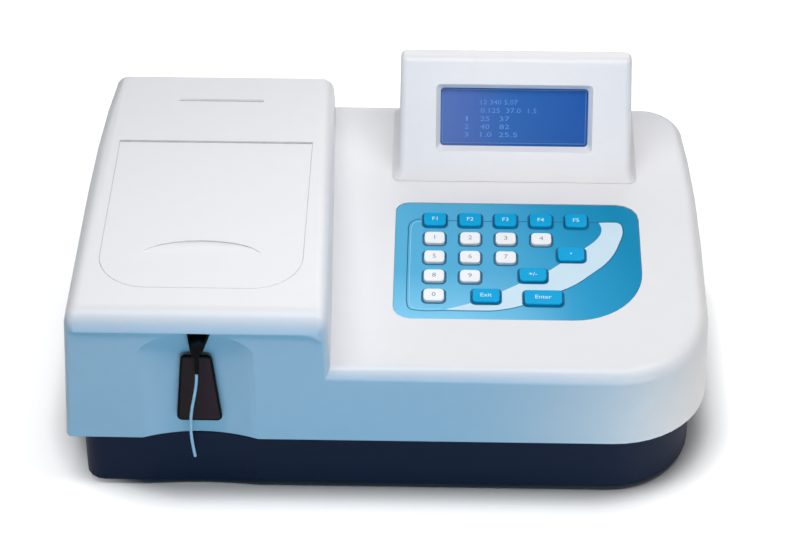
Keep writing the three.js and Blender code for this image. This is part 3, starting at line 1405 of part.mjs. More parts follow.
// Mains inlet and rocker housing in one snap-in body
function powerInlet() {
  const flange = block(-inletFlangeWidth / 2, inletFlangeWidth / 2, gap, gap + inletFlangeThickness,
    -inletFlangeHeight / 2, inletFlangeHeight / 2);
  const body = block(-inletBodyWidth / 2, inletBodyWidth / 2, -inletBodyDepth, gap + inletFlangeThickness / 2,
    -inletBodyHeight / 2, inletBodyHeight / 2);
  const mouth = gap + inletFlangeThickness;
  const cavity = block(-inletCavityShift - inletCavityWidth / 2, -inletCavityShift + inletCavityWidth / 2,
    mouth - inletCavityDepth, mouth + overrun, -inletCavityHeight / 2, inletCavityHeight / 2);
  const pocketHalf = rockerWidth / 2 + rockerClearance;
  const pocket = block(rockerShift - pocketHalf, rockerShift + pocketHalf,
    mouth - rockerPocketDepth, mouth + overrun,
    -rockerHeight / 2 - rockerClearance, rockerHeight / 2 + rockerClearance);
  const pinY = mouth - inletCavityDepth;
  const pins = [[-pinPitch, -pinDrop], [0, pinDrop * 2], [pinPitch, -pinDrop]].map(([x, z]) => {
    const pinX = x - inletCavityShift;
    return solid(block(pinX - pinWidth / 2, pinX + pinWidth / 2, pinY - pinWidth, pinY + pinLength,
      z - pinHeight / 2, z + pinHeight / 2));
  });
  const axle = drumAlongX(rockerPinRadius, pocketHalf * 2 + wall, holeSides)
    .translate(rockerShift - pocketHalf - wall / 2, mouth - rockerPivotDepth, 0);
  return join(cut(join(solid(flange), solid(body)), solid(cavity), solid(pocket)), ...pins, solid(axle));
}

// Rocker: a shallow V on its pin, tipped to the off side
function powerRocker() {
  const half = rockerHeight / 2;
  const backY = rockerPivotDepth - rockerDepth;
  const edgeY = rockerPivotDepth + rockerRise / 2;
  const outline = [[backY, -half + rockerRise], [backY, half - rockerRise], [edgeY, half],
    [rockerPivotDepth - rockerRise / 4, 0], [edgeY, -half]].map(([y, z]) => new THREE.Vector2(y, z));
  const body = solid(bar(outline, rockerWidth).translate(-rockerWidth / 2, 0, 0));
  const bore = solid(drumAlongX(rockerPinRadius + gap, rockerWidth + overrun * 2, holeSides)
    .translate(-rockerWidth / 2 - overrun, 0, 0));
  return cut(body, bore);
}

function serialPort() {
  const flange = block(-serialFlangeWidth / 2, serialFlangeWidth / 2, gap, gap + serialFlangeThickness,
    -serialFlangeHeight / 2, serialFlangeHeight / 2);
  const half = serialShellWidth / 2;
  const low = -serialShellHeight / 2;
  const shellOutline = roundedOutline([[-half + serialShellSlant, low], [half - serialShellSlant, low],
    [half, -low], [-half, -low]], serialShellSlant);
  const shell = standingPlate(shellOutline, serialShellLength)
    .translate(0, gap + serialShellLength + serialFlangeThickness / 2, 0);
  const body = block(-serialBodyWidth / 2, serialBodyWidth / 2, -serialBodyDepth,
    gap + serialFlangeThickness / 2, -serialBodyHeight / 2, serialBodyHeight / 2);
  return join(solid(flange), solid(shell), solid(body));
}

function wasteFitting() {
  const points = [
    [wasteBoreRadius, -baseWall - wasteInnerLength], [wasteBarbNeck, -baseWall - wasteInnerLength],
    [wasteBarbNeck, -baseWall - wasteFlangeThickness], [wasteThreadRadius, -baseWall - wasteFlangeThickness],
    [wasteThreadRadius, gap], [wasteFlangeRadius, gap], [wasteFlangeRadius, gap + wasteFlangeThickness],
    [wasteBarbNeck, gap + wasteFlangeThickness],
    [wasteBarbNeck, gap + wasteFlangeThickness + wasteBarbLength / 2],
    [wasteBarbRadius, gap + wasteFlangeThickness + wasteBarbLength / 2],
    [wasteBarbNeck, gap + wasteFlangeThickness + wasteBarbLength],
    [wasteBoreRadius, gap + wasteFlangeThickness + wasteBarbLength],
  ];
  points.push(points[0]);
  return new THREE.LatheGeometry(points.map(([r, y]) => new THREE.Vector2(r, y)), holeSides);
}

function powerSupply() {
  const shell = cut(
    solid(block(0, supplyWidth, 0, supplyLength, 0, supplyHeight)),
    solid(block(supplyWall, supplyWidth - supplyWall, -overrun, supplyLength + overrun,
      supplyWall, supplyHeight - supplyWall)),
  );
  const board = block(supplyWall / 2, supplyWidth - supplyWall / 2, supplyWall, supplyLength - supplyWall,
    supplyWall / 2, supplyBoardHeight);
  return join(shell, solid(board));
}

function mainBoard() {
  const outline = rectangle(mainBoardWidth, mainBoardLength, wall, mainBoardWidth / 2, mainBoardLength / 2);
  const board = plate(outline, boardThickness);
  const chips = [1, 2, 3].map((place) => {
    const x = mainBoardWidth * place / 4;
    const y = mainBoardLength / 2;
    return solid(block(x - chipSize / 2, x + chipSize / 2, y - chipSize / 2, y + chipSize / 2,
      boardThickness / 2, boardThickness + chipHeight));
  });
  return join(solid(board), ...chips);
}

// Case and base
addPiece('base_tray', baseTray(), navyPlastic());
addPiece('upper_cover', upperCover(), whitePlastic());
const footX = caseWidth / 2 - footInsetX;
const footY = caseDepth / 2 - footInsetY;
const feet = {
  foot_front_left: [-1, -1], foot_front_right: [1, -1], foot_back_left: [-1, 1], foot_back_right: [1, 1],
};
for (const [name, [sideX, sideY]] of Object.entries(feet)) {
  addPiece(name, foot(), rubber()).position.set(sideX * footX, sideY * footY, 0);
}

// Tower: lid, bay and what stands in it
addPiece('service_lid', serviceLid(), whitePlastic(), towerFrame);
addPiece('lid_hinge_pin', drumAlongX(hingePinRadius, hingePinHalf * 2, holeSides), steel(), towerFrame)
  .position.set(-hingePinHalf, hingeY, -hingeKnuckleRadius);
addPiece('bay_liner', bayLiner(), greyPlastic(), towerFrame);
addPiece('paper_roll', paperRoll(), finish('#f4f4f1', 0.8), towerFrame)
  .position.set(-rollWidth / 2, rollAxisY, -rollAxisDepth);
addPiece('printer_frame', printerFrame(), blackPlastic(), towerFrame);
addPiece('platen_roller', platenRoller(), rubber(), towerFrame)
  .position.set(0, platenAxisY, -platenAxisDepth);
addPiece('pump_housing', pumpHousing(), greyPlastic(), towerFrame)
  .position.set(pumpCentreX, pumpCentreY, seat);
addPiece('pump_rotor', pumpRotor(), whitePlastic(), towerFrame)
  .position.set(pumpCentreX, pumpCentreY, seat + pumpFloor + gap);
addPiece('pump_motor', pumpMotor(), steel(), towerFrame)
  .position.set(pumpCentreX, pumpCentreY, -bayDepth - bayWall - gap);
addPiece('pump_line', pumpLine(), finish('#e8e2d2', 0.4), towerFrame);
addPiece('flow_cell_block', flowCellBlock(), aluminium(), towerFrame);
addPiece('flow_cell', flowCell(), finish('#cfe4ea', 0.1), towerFrame);
addPiece('photo_detector', photoDetector(), blackPlastic(), towerFrame);

// Optics under the deck
addPiece('optical_bench', opticalBench(), aluminium());
addPiece('lamp_housing', lampHousing(), aluminium());
addPiece('halogen_lamp', halogenLamp(), finish('#e9e6da', 0.2));
addPiece('filter_wheel', filterWheel(), blackPlastic())
  .position.set(wheelPlace - wheelThickness / 2, beam.y, wheelZ);
addPiece('filter_motor', filterMotor(), steel()).position.set(filterMotorX0, beam.y, wheelZ);

// Sampling
addPiece('sipper_nozzle', sipperNozzle(), blackPlastic());
addPiece('sipper_tube', sipperTube(), finish('#a9cfe2', 0.3));
addPiece('sipper_plate', sipperPlate(), finish('#241a22', 0.15));
addPiece('sipper_switch', sipperSwitch(), blackPlastic());

// Keypad
addPiece('keypad_overlay', keypadOverlay(), finish('#3aa3d6', 0.35), deckFrame);
addPiece('keypad_board', keypadBoard(), boardGreen(), deckFrame);
for (const key of keys) {
  const colour = key.blue ? '#0a93cc' : '#f2f5f8';
  addPiece(key.name, keyCap(key), finish(colour, 0.4), deckFrame).position.set(key.x, key.y, 0);
}

// Display
addPiece('display_hood', displayHood(), whitePlastic());
addPiece('lcd_window', lcdWindow(), finish('#c7dcf2', 0.05), hoodFrame);
addPiece('lcd_module', lcdModule(), finish('#1c55a8', 0.3), hoodFrame);

// Rear wall
addPiece('fan_frame', fanFrameSolid(), blackPlastic(), rearFrame).position.set(0, -wall - gap, 0);
addPiece('fan_rotor', fanRotor(), blackPlastic(), rearFrame)
  .position.set(0, -wall - gap - fanDepth + fanPlateThickness + gap * 3, 0);
addPiece('power_inlet', powerInlet(), blackPlastic()).position.set(inletX, baseBackY, socketHeight);
const rocker = addPiece('power_rocker', powerRocker(), blackPlastic());
const rockerY = baseBackY + gap + inletFlangeThickness - rockerPivotDepth;
rocker.position.set(inletX + rockerShift, rockerY, socketHeight);
rocker.rotation.x = THREE.MathUtils.degToRad(rockerTiltDegrees);
addPiece('serial_port', serialPort(), steel()).position.set(serialX, baseBackY, socketHeight);
addPiece('waste_fitting', wasteFitting(), greyPlastic()).position.set(wasteX, baseBackY, socketHeight);

// Floor of the base tray
addPiece('power_supply', powerSupply(), aluminium())
  .position.set(supplyLeft, supplyFront, baseFloor + gap);
addPiece('main_board', mainBoard(), boardGreen())
  .position.set(mainBoardLeft, mainBoardFront, baseFloor + boardPostHeight + gap);

export default analyzer;
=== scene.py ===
"""Benchtop chemistry analyzer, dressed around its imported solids."""

import json
import math

import bpy
from mathutils import Matrix, Vector

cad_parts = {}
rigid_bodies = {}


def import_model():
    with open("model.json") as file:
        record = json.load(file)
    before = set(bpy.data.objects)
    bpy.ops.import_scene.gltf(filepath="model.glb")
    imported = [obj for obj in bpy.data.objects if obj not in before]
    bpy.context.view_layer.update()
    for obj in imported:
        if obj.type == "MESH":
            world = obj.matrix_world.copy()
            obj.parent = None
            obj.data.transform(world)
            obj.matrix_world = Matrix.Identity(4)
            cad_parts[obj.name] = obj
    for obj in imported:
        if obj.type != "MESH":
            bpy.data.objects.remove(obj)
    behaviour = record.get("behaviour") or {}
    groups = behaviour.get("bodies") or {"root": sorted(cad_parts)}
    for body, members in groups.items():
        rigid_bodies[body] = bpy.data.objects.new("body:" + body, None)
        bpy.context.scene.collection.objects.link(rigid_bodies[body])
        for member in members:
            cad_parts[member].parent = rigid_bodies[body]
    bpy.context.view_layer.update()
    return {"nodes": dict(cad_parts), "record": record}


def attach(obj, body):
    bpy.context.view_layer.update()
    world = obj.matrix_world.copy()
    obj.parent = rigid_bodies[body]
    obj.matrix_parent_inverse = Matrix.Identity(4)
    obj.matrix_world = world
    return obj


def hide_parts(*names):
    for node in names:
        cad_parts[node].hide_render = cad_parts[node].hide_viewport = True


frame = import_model()

# Camera: a long lens about 1.8 m away, looking down at the front from a little
# right of the middle, as the product was photographed.
camera_data = bpy.data.cameras.new("camera")
camera_data.lens = 117.78
camera_data.sensor_width = 36.0
camera = bpy.data.objects.new("camera", camera_data)
bpy.context.scene.collection.objects.link(camera)
camera_right = Vector((0.999763, 0.021745, -0.000283))
camera_up = Vector((-0.013174, 0.615936, 0.787686))
camera_turn = Matrix((camera_right, camera_up, camera_right.cross(camera_up))).transposed()
camera.matrix_world = Matrix.Translation((0.035899, -1.409016, 1.176734)) @ camera_turn.to_4x4()
bpy.context.scene.camera = camera


# Sample tube: a thin extruded tube of clear plastic, firm enough at this length to keep its
# gentle bend. It hangs from the nozzle's tip, in front of the push plate, and is cut square
# at its free end, where it dips in a sample.
def linear(hex_colour):
    """Turns an sRGB hex colour into the linear colour that a node takes."""
    shares = [int(hex_colour[i:i + 2], 16) / 255 for i in (1, 3, 5)]
    return tuple(s / 12.92 if s <= 0.04045 else ((s + 0.055) / 1.055) ** 2.4 for s in shares) + (1.0,)


def add_node(owner, kind, inputs=None, **settings):
    """Adds a node to a material or the world; an input is a value or another node's output."""
    node = owner.node_tree.nodes.new(kind)
    for name, value in settings.items():
        setattr(node, name, value)
    for name, value in (inputs or {}).items():
        if isinstance(value, bpy.types.NodeSocket):
            owner.node_tree.links.new(value, node.inputs[name])
        else:
            node.inputs[name].default_value = value
    return node


def empty_material(name):
    """A material with no nodes yet, ready for its shader."""
    material = bpy.data.materials.new(name)
    material.use_nodes = True
    material.node_tree.nodes.clear()
    return material


def finish_material(material, shader):
    """Sends the shader to the material's surface."""
    add_node(material, "ShaderNodeOutputMaterial", {"Surface": shader.outputs[0]})
    return material


tube_diameter = 0.002
tube_colour = "#e6f3f8"
tube_points = [
    (-122.0, -135.2, 99.3), (-122.1, -135.2, 96.0), (-122.6, -135.1, 91.0), (-123.3, -135.0, 86.0),
    (-124.3, -134.9, 80.5), (-125.4, -134.8, 75.0), (-126.5, -134.7, 69.0), (-127.3, -134.7, 63.0),
    (-127.8, -134.7, 57.0), (-128.0, -134.7, 51.0), (-127.8, -134.8, 45.0), (-127.4, -134.8, 39.5),
    (-126.8, -134.9, 34.0), (-126.2, -135.0, 29.0),
]
tube_curve = bpy.data.curves.new("sample_tube", "CURVE")
tube_curve.dimensions = "3D"
tube_curve.bevel_depth = tube_diameter / 2
tube_curve.bevel_resolution = 3
tube_curve.use_fill_caps = True
tube_spline = tube_curve.splines.new("NURBS")
tube_spline.points.add(len(tube_points) - 1)
for point, place in zip(tube_spline.points, tube_points):
    point.co = (*(value / 1000 for value in place), 1.0)
tube_spline.order_u = 3
tube_spline.use_endpoint_u = True
tube_spline.resolution_u = 4
sample_tube = bpy.data.objects.new("sample_tube", tube_curve)
bpy.context.scene.collection.objects.link(sample_tube)
clear_tube = empty_material("extruded_soft_tube")
# Frosted by the extruder's draw marks, a sixth of a mm apart: a pale blue, half-clear skin
# that still shows its outline.
tube_place = add_node(clear_tube, "ShaderNodeTexCoord")
tube_frost = add_node(clear_tube, "ShaderNodeTexNoise", {
    "Vector": tube_place.outputs["Object"], "Scale": 6000.0, "Detail": 2.0})
tube_gloss = add_node(clear_tube, "ShaderNodeMapRange", {
    "Value": tube_frost.outputs["Fac"], "To Min": 0.22, "To Max": 0.38})
finish_material(clear_tube, add_node(clear_tube, "ShaderNodeBsdfPrincipled", {
    "Base Color": linear(tube_colour), "Roughness": tube_gloss.outputs["Result"], "IOR": 1.43,
    "Subsurface Weight": 0.25, "Subsurface Radius": (0.001, 0.0012, 0.0014), "Subsurface Scale": 1.0}))
tube_curve.materials.append(clear_tube)
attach(sample_tube, "case")
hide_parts("sipper_tube")

# Studio: a white sweep of paper, soft boxes above, behind and at the right, a low blue one
# in front that tints the upright faces, and two gridded ones that fill the case's right
# corner and the display hood.
floor_size = 6.0
bpy.ops.object.select_all(action="DESELECT")
bpy.ops.mesh.primitive_plane_add(size=floor_size, location=(0, 0, 0))
floor = bpy.context.object
floor.name = "floor"
sweep_paper = empty_material("white_sweep_paper")
# The camera and the gloss see the paper as plain white, except within a few centimetres of
# the case, where its glow fades out so the shadow stays, and where its colour is darkened
# to grey as a painted shadow. In front and at the left the paper throws back bluish
# light, as a blue sheet laid there does.
paper_light = add_node(sweep_paper, "ShaderNodeLightPath")
paper_seen = add_node(sweep_paper, "ShaderNodeMath", {
    0: paper_light.outputs["Is Camera Ray"], 1: paper_light.outputs["Is Glossy Ray"]}, operation="MAXIMUM")
paper_through = add_node(sweep_paper, "ShaderNodeMath", {
    0: paper_seen.outputs[0], 1: paper_light.outputs["Is Transmission Ray"]}, operation="MAXIMUM")
paper_place = add_node(sweep_paper, "ShaderNodeTexCoord")
paper_axes = add_node(sweep_paper, "ShaderNodeSeparateXYZ", {0: paper_place.outputs["Object"]})
# The painted shadow and the glow go by the distance from a block inside the footprint,
# which rounds their corners.
shadow_core = (0.128, 0.058, 0.0)
paper_quarter = add_node(sweep_paper, "ShaderNodeVectorMath", {
    0: paper_place.outputs["Object"]}, operation="ABSOLUTE")
paper_corner = add_node(sweep_paper, "ShaderNodeVectorMath", {
    0: paper_quarter.outputs["Vector"], 1: shadow_core}, operation="SUBTRACT")
paper_beyond = add_node(sweep_paper, "ShaderNodeVectorMath", {
    0: paper_corner.outputs["Vector"], 1: (0.0, 0.0, 0.0)}, operation="MAXIMUM")
paper_gap = add_node(sweep_paper, "ShaderNodeVectorMath", {
    0: paper_beyond.outputs["Vector"]}, operation="LENGTH")
paper_glow = add_node(sweep_paper, "ShaderNodeValToRGB", {0: paper_gap.outputs["Value"]})
for place, strength in ((0.08, 0.0), (0.108, 0.56), (0.6, 1.0)):
    paper_glow.color_ramp.elements.new(place).color = (strength, strength, strength, 1.0)
# Painted shadow: the paper's own colour turns grey close to the case.
paper_painted_shadow = add_node(sweep_paper, "ShaderNodeMapRange", {
    "Value": paper_gap.outputs["Value"], "From Min": 0.074, "From Max": 0.092, "To Min": 0.5, "To Max": 0.89})
paper_lift = add_node(sweep_paper, "ShaderNodeMath", {
    0: paper_through.outputs[0], 1: paper_glow.outputs["Color"]}, operation="MULTIPLY")
paper_front = add_node(sweep_paper, "ShaderNodeMapRange", {
    "Value": paper_axes.outputs["Y"], "From Min": -0.16, "From Max": 0.0})
paper_left = add_node(sweep_paper, "ShaderNodeMapRange", {
    "Value": paper_axes.outputs["X"], "From Min": -0.22, "From Max": -0.18, "To Min": 0.3})
paper_plain = add_node(sweep_paper, "ShaderNodeMath", {
    0: paper_front.outputs["Result"], 1: paper_left.outputs["Result"]}, operation="MINIMUM")
paper_white = add_node(sweep_paper, "ShaderNodeMath", {
    0: paper_through.outputs[0], 1: paper_plain.outputs[0]}, operation="MAXIMUM")
paper_tint = add_node(sweep_paper, "ShaderNodeMix", {
    0: paper_white.outputs[0], 6: linear("#5ea6c6"), 7: paper_painted_shadow.outputs["Result"]}, data_type="RGBA")
finish_material(sweep_paper, add_node(sweep_paper, "ShaderNodeBsdfPrincipled", {
    "Base Color": paper_tint.outputs[2], "Roughness": 0.9, "Specular IOR Level": 0.1,
    "Emission Color": linear("#ffffff"), "Emission Strength": paper_lift.outputs[0]}))
floor.data.materials.append(sweep_paper)


def soft_box(name, place, aim, size, power, colour, grid=180.0):
    """A rectangular lamp out of the picture; a grid narrows its light to so many degrees."""
    light = bpy.data.lights.new(name, "AREA")
    light.shape = "RECTANGLE"
    light.size, light.size_y = size
    light.energy = power
    light.color = linear(colour)[:3]
    light.spread = math.radians(grid)
    lamp = bpy.data.objects.new(name, light)
    bpy.context.scene.collection.objects.link(lamp)
    lamp.visible_camera = False
    direction = Vector(aim) - Vector(place)
    lamp.matrix_world = Matrix.Translation(place) @ direction.to_track_quat("-Z", "Y").to_matrix().to_4x4()


soft_box("top_box", (0.06, -0.2, 0.72), (0.04, -0.03, 0.1), (1.0, 0.24), 4.35, "#ffffff")
soft_box("back_box", (0.1, 1.15, 0.85), (0.0, 0.1, 0.1), (1.6, 0.8), 7.6, "#ffffff")
soft_box("low_box", (0.0, -0.66, 0.05), (0.02, -0.13, 0.06), (0.6, 0.08), 1.45, "#56aedb")
soft_box("side_box", (0.85, -0.6, 0.14), (0.2, -0.1, 0.07), (0.1, 0.4), 0.2, "#ffffff")
soft_box("corner_box", (0.43, -0.6, 0.05), (0.2, -0.1, 0.042), (0.1, 0.1), 0.036, "#ffe0bc", 26.0)
soft_box("hood_box", (0.082, -0.36, 0.21), (0.082, 0.07, 0.19), (0.16, 0.05), 0.013, "#ffd2a8", 34.0)
world = bpy.data.worlds.new("studio")
bpy.context.scene.world = world
world.use_nodes = True
world.node_tree.nodes.clear()
room_light = add_node(world, "ShaderNodeLightPath")
room_seen = add_node(world, "ShaderNodeMath", {
    0: room_light.outputs["Is Camera Ray"], 1: room_light.outputs["Is Transmission Ray"]},
    operation="MAXIMUM")
room_fill = add_node(world, "ShaderNodeBackground", {"Color": linear("#dfe8f3"), "Strength": 0.1})
room_white = add_node(world, "ShaderNodeBackground", {"Color": linear("#ffffff"), "Strength": 1.0})
room_mix = add_node(world, "ShaderNodeMixShader", {
    0: room_seen.outputs[0], 1: room_fill.outputs[0], 2: room_white.outputs[0]})
add_node(world, "ShaderNodeOutputWorld", {"Surface": room_mix.outputs[0]})
bpy.context.scene.view_settings.view_transform = "Standard"


# Upper cover: one injection moulding in off-white ABS, spark-textured, with softened
# edges. It carries the tower, the deck, the niche and the openings, and drops on the tray.
def grained(name, colour, roughness, grain_mm, depth, tone=0.035, stretch=(1.0, 1.0, 1.0), **shader):
    """A finish with a faint cloudiness and a grain of the given size, in colour, gloss and relief."""
    material = empty_material(name)
    place = add_node(material, "ShaderNodeTexCoord")
    turned = add_node(material, "ShaderNodeMapping", {
        "Vector": place.outputs["Object"], "Scale": stretch})
    cloud = add_node(material, "ShaderNodeTexNoise", {
        "Vector": turned.outputs["Vector"], "Scale": 60.0 / grain_mm, "Detail": 2.0})
    plain = linear(colour)[:3]
    tint = add_node(material, "ShaderNodeMix", {
        0: cloud.outputs["Fac"], 6: (*(share * (1 - tone) for share in plain), 1.0),
        7: (*(min(share * (1 + tone), 1.0) for share in plain), 1.0)}, data_type="RGBA")
    grain = add_node(material, "ShaderNodeTexNoise", {
        "Vector": turned.outputs["Vector"], "Scale": 1000.0 / grain_mm, "Detail": 3.0, "Roughness": 0.6})
    sheen = add_node(material, "ShaderNodeMapRange", {
        "Value": grain.outputs["Fac"], "To Min": roughness * 0.88, "To Max": roughness * 1.12})
    bump = add_node(material, "ShaderNodeBump", {
        "Height": grain.outputs["Fac"], "Strength": depth, "Distance": 0.0002})
    return finish_material(material, add_node(material, "ShaderNodeBsdfPrincipled", {
        "Base Color": tint.outputs[2], "Roughness": sheen.outputs["Result"], "Normal": bump.outputs["Normal"],
        **{key.replace("_", " "): value for key, value in shader.items()}}))


def select_alone(piece):
    """Makes the piece the only one that the next command works on."""
    bpy.ops.object.select_all(action="DESELECT")
    bpy.context.view_layer.objects.active = piece
    piece.select_set(True)


def apply_modifier(piece, kind, **settings):
    """Works a modifier into the piece's own mesh."""
    modifier = piece.modifiers.new(kind.lower(), kind)
    for name, value in settings.items():
        setattr(modifier, name, value)
    select_alone(piece)
    bpy.ops.object.modifier_apply(modifier=modifier.name)


weld_gap = 0.000003
flat_angle = math.radians(0.6)


def copy_of_solid(node, name):
    """A merged copy of a CAD solid with its flat faces made whole."""
    piece = bpy.data.objects.new(name, frame["nodes"][node].data.copy())
    piece.data.materials.clear()
    bpy.context.scene.collection.objects.link(piece)
    select_alone(piece)
    bpy.ops.object.mode_set(mode="EDIT")
    bpy.ops.mesh.select_all(action="SELECT")
    bpy.ops.mesh.remove_doubles(threshold=weld_gap)
    bpy.ops.mesh.dissolve_limited(angle_limit=flat_angle)
    bpy.ops.object.mode_set(mode="OBJECT")
    return piece


def soften(piece, edge_mm, crease=35.0):
    """Rounds the sharp edges by the radius of the mould's own corners, and smooths the rest."""
    if edge_mm:
        apply_modifier(piece, "BEVEL", width=edge_mm / 1000, segments=2, limit_method="ANGLE",
                       angle_limit=math.radians(crease), miter_outer="MITER_ARC", use_clamp_overlap=True)
    select_alone(piece)
    bpy.ops.object.shade_smooth_by_angle(angle=math.radians(crease))
    apply_modifier(piece, "WEIGHTED_NORMAL", keep_sharp=True, weight=50)


def stand_for(piece, node, material):
    """The piece takes the CAD solid's place, rides on its body and takes its finish."""
    bodies = frame["record"]["behaviour"]["bodies"]
    if not piece.data.materials:
        piece.data.materials.append(material)
    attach(piece, next(body for body, members in bodies.items() if node in members))
    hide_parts(node)
    return piece


def refine(node, name, material, edge_mm, crease=35.0):
    """Replaces a CAD solid by its own copy with softened edges and the real finish."""
    piece = copy_of_solid(node, name)
    soften(piece, edge_mm, crease)
    return stand_for(piece, node, material)


# Spark-cut mould: a fine matt grain, drawn at 0.8 mm so that it shows.
white_abs = grained("moulded_white_abs", "#e8e8eb", 0.42, 0.8, 0.05, tone=0.012, IOR=1.53)
refine("upper_cover", "cover_shell", white_abs, 0.35)

# Base tray: the lower moulding in navy ABS, textured like the cover. It takes the
# boards and the supply on its floor, and the cover screws down on its flange.
# The same spark-cut grain, so the dark blue stays matt and its edges look soft.
navy_abs = grained("moulded_navy_abs", "#172136", 0.5, 1.0, 0.08, IOR=1.53, Specular_IOR_Level=0.1)
refine("base_tray", "tray_shell", navy_abs, 0.5)

# Feet: four round pads of black rubber, moulded with a soft lip. Each is pressed in the
# tray's floor near a corner, and the analyzer stands on them.
# Moulded rubber: a dull dark grey with a slightly rough skin.
black_rubber = grained("moulded_black_rubber", "#232427", 0.8, 0.6, 0.2, IOR=1.52)
for node_name in ("foot_front_left", "foot_front_right", "foot_back_left", "foot_back_right"):
    refine(node_name, node_name + "_pad", black_rubber, 0.3)


# Case screws: zinc-plated pan heads with a cross recess, cold-headed, so their rims are
# round. Four hold the tray's floor beside the feet. Four hold the fan, and are sunk in the
# rear wall until they are nearly flush.
def settle(piece, place=Matrix()):
    """Takes the piece's mesh to its place on the object and leaves its own origin at the middle."""
    piece.data.transform(place @ piece.matrix_basis)
    piece.matrix_basis = Matrix()
    return piece


def start_block(name, size, centre):
    """A block of the given size and place in mm, to be shaped."""
    bpy.ops.object.select_all(action="DESELECT")
    bpy.ops.mesh.primitive_cube_add(size=0.001, location=Vector(centre) / 1000)
    block = bpy.context.object
    block.name = name
    block.scale = size
    return settle(block)


def start_drum(name, radius, length, centre, turn=(0.0, 0.0, 0.0), sides=32):
    """A round bar of the given size and place in mm, to be shaped."""
    bpy.ops.object.select_all(action="DESELECT")
    bpy.ops.mesh.primitive_cylinder_add(vertices=sides, radius=radius / 1000, depth=length / 1000,
                                        location=Vector(centre) / 1000, rotation=turn)
    bpy.context.object.name = name
    return settle(bpy.context.object)


def join_pieces(pieces, name):
    """Makes one piece of several."""
    bpy.ops.object.select_all(action="DESELECT")
    for piece in pieces:
        piece.select_set(True)
    bpy.context.view_layer.objects.active = pieces[0]
    bpy.ops.object.join()
    pieces[0].name = name
    return pieces[0]


def pick_faces(piece, test):
    """Opens the piece in edit mode with only the faces picked that pass the test."""
    select_alone(piece)
    bpy.ops.object.mode_set(mode="EDIT")
    bpy.ops.mesh.select_mode(type="FACE")
    bpy.ops.mesh.select_all(action="DESELECT")
    bpy.ops.object.mode_set(mode="OBJECT")
    for face in piece.data.polygons:
        face.select = test(face.center * 1000, face.normal)
    bpy.ops.object.mode_set(mode="EDIT")


def carve(piece, tool, operation="DIFFERENCE"):
    """Cuts the piece with a second solid, which is then thrown away."""
    apply_modifier(piece, "BOOLEAN", object=tool, operation=operation, solver="EXACT")
    bpy.data.objects.remove(tool, do_unlink=True)


def copy_piece(piece, name, place):
    """A second piece of the same shape at another place."""
    twin = bpy.data.objects.new(name, piece.data.copy())
    bpy.context.scene.collection.objects.link(twin)
    return settle(twin, place)


def trim(piece, material, body="case"):
    """Finishes a piece that takes no CAD solid's place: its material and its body."""
    piece.data.materials.append(material)
    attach(piece, body)


# Bright zinc: nearly smooth, with the faint cloud of the plating bath.
zinc_steel = grained("zinc_plated_steel", "#c3c6ca", 0.28, 0.7, 0.06, tone=0.08, Metallic=1.0)
head_radius, head_height = 2.6, 1.5
cross_length, cross_width, cross_foot, cutter_height = 3.0, 0.6, 0.7, 1.8
screw_head = start_drum("screw_head", head_radius, head_height, (0, 0, head_height / 2), sides=24)
pick_faces(screw_head, lambda centre, normal: normal.z > 0.9)
bpy.ops.mesh.inset(thickness=0.0006, depth=0.0)
bpy.ops.mesh.bevel(offset=0.00035, segments=2, affect="EDGES")
bpy.ops.object.mode_set(mode="OBJECT")
for across, along in ((cross_length, cross_width), (cross_width, cross_length)):
    carve(screw_head, start_block("driver_slot", (across, along, cutter_height),
                                  (0, 0, cross_foot + cutter_height / 2)))
soften(screw_head, 0.12)
floor_seat = 2.5
rear_draft = 0.05
rear_lean = math.atan(rear_draft)
rear_seat, rear_foot = 135.55, 45.0
screw_places = [Matrix.Translation(Vector((x, y, floor_seat)) / 1000) @ Matrix.Rotation(math.pi, 4, "X")
                for x in (-150, 150) for y in (-62, 62)]
screw_places += [Matrix.Translation(Vector((x, rear_seat - rear_draft * (z - rear_foot), z)) / 1000)
                 @ Matrix.Rotation(rear_lean - math.pi / 2, 4, "X")
                 for x in (95, 145) for z in (59, 109)]
for index, place in enumerate(screw_places):
    trim(copy_piece(screw_head, f"case_screw_{index + 1}", place), zinc_steel)
bpy.data.objects.remove(screw_head, do_unlink=True)


# Service lid: a flat panel in the cover's plastic with a rib round its underside and a
# thumb scoop at the front. It turns on a ground steel pin through its knuckle.
refine("service_lid", "lid_panel", white_abs, 0.2)
# Ground round: fine marks that run round the pin.
ground_steel = grained("ground_steel", "#b9bcc0", 0.24, 0.5, 0.12, tone=0.06, stretch=(4.0, 0.3, 0.3),
                       Metallic=1.0)
refine("lid_hinge_pin", "hinge_pin", ground_steel, 0.2)
case_depth = 273.0
tower_rise = 3.3
tower_tilt = math.atan(tower_rise / case_depth)
tower_place = Matrix.Translation((-0.121593, 0, 0.14835)) @ Matrix.Rotation(tower_tilt, 4, "X")


def round_corners(piece, radius, segments, test):
    """Rounds the piece's upright edges that pass the test, by a radius in mm."""
    select_alone(piece)
    bpy.ops.object.mode_set(mode="EDIT")
    bpy.ops.mesh.select_mode(type="EDGE")
    bpy.ops.mesh.select_all(action="DESELECT")
    bpy.ops.object.mode_set(mode="OBJECT")
    for edge in piece.data.edges:
        first, second = (piece.data.vertices[index].co * 1000 for index in edge.vertices)
        edge.select = abs(first.z - second.z) > 0.5 and test(first)
    bpy.ops.object.mode_set(mode="EDIT")
    bpy.ops.mesh.bevel(offset=radius / 1000, segments=segments, affect="EDGES")
    bpy.ops.object.mode_set(mode="OBJECT")
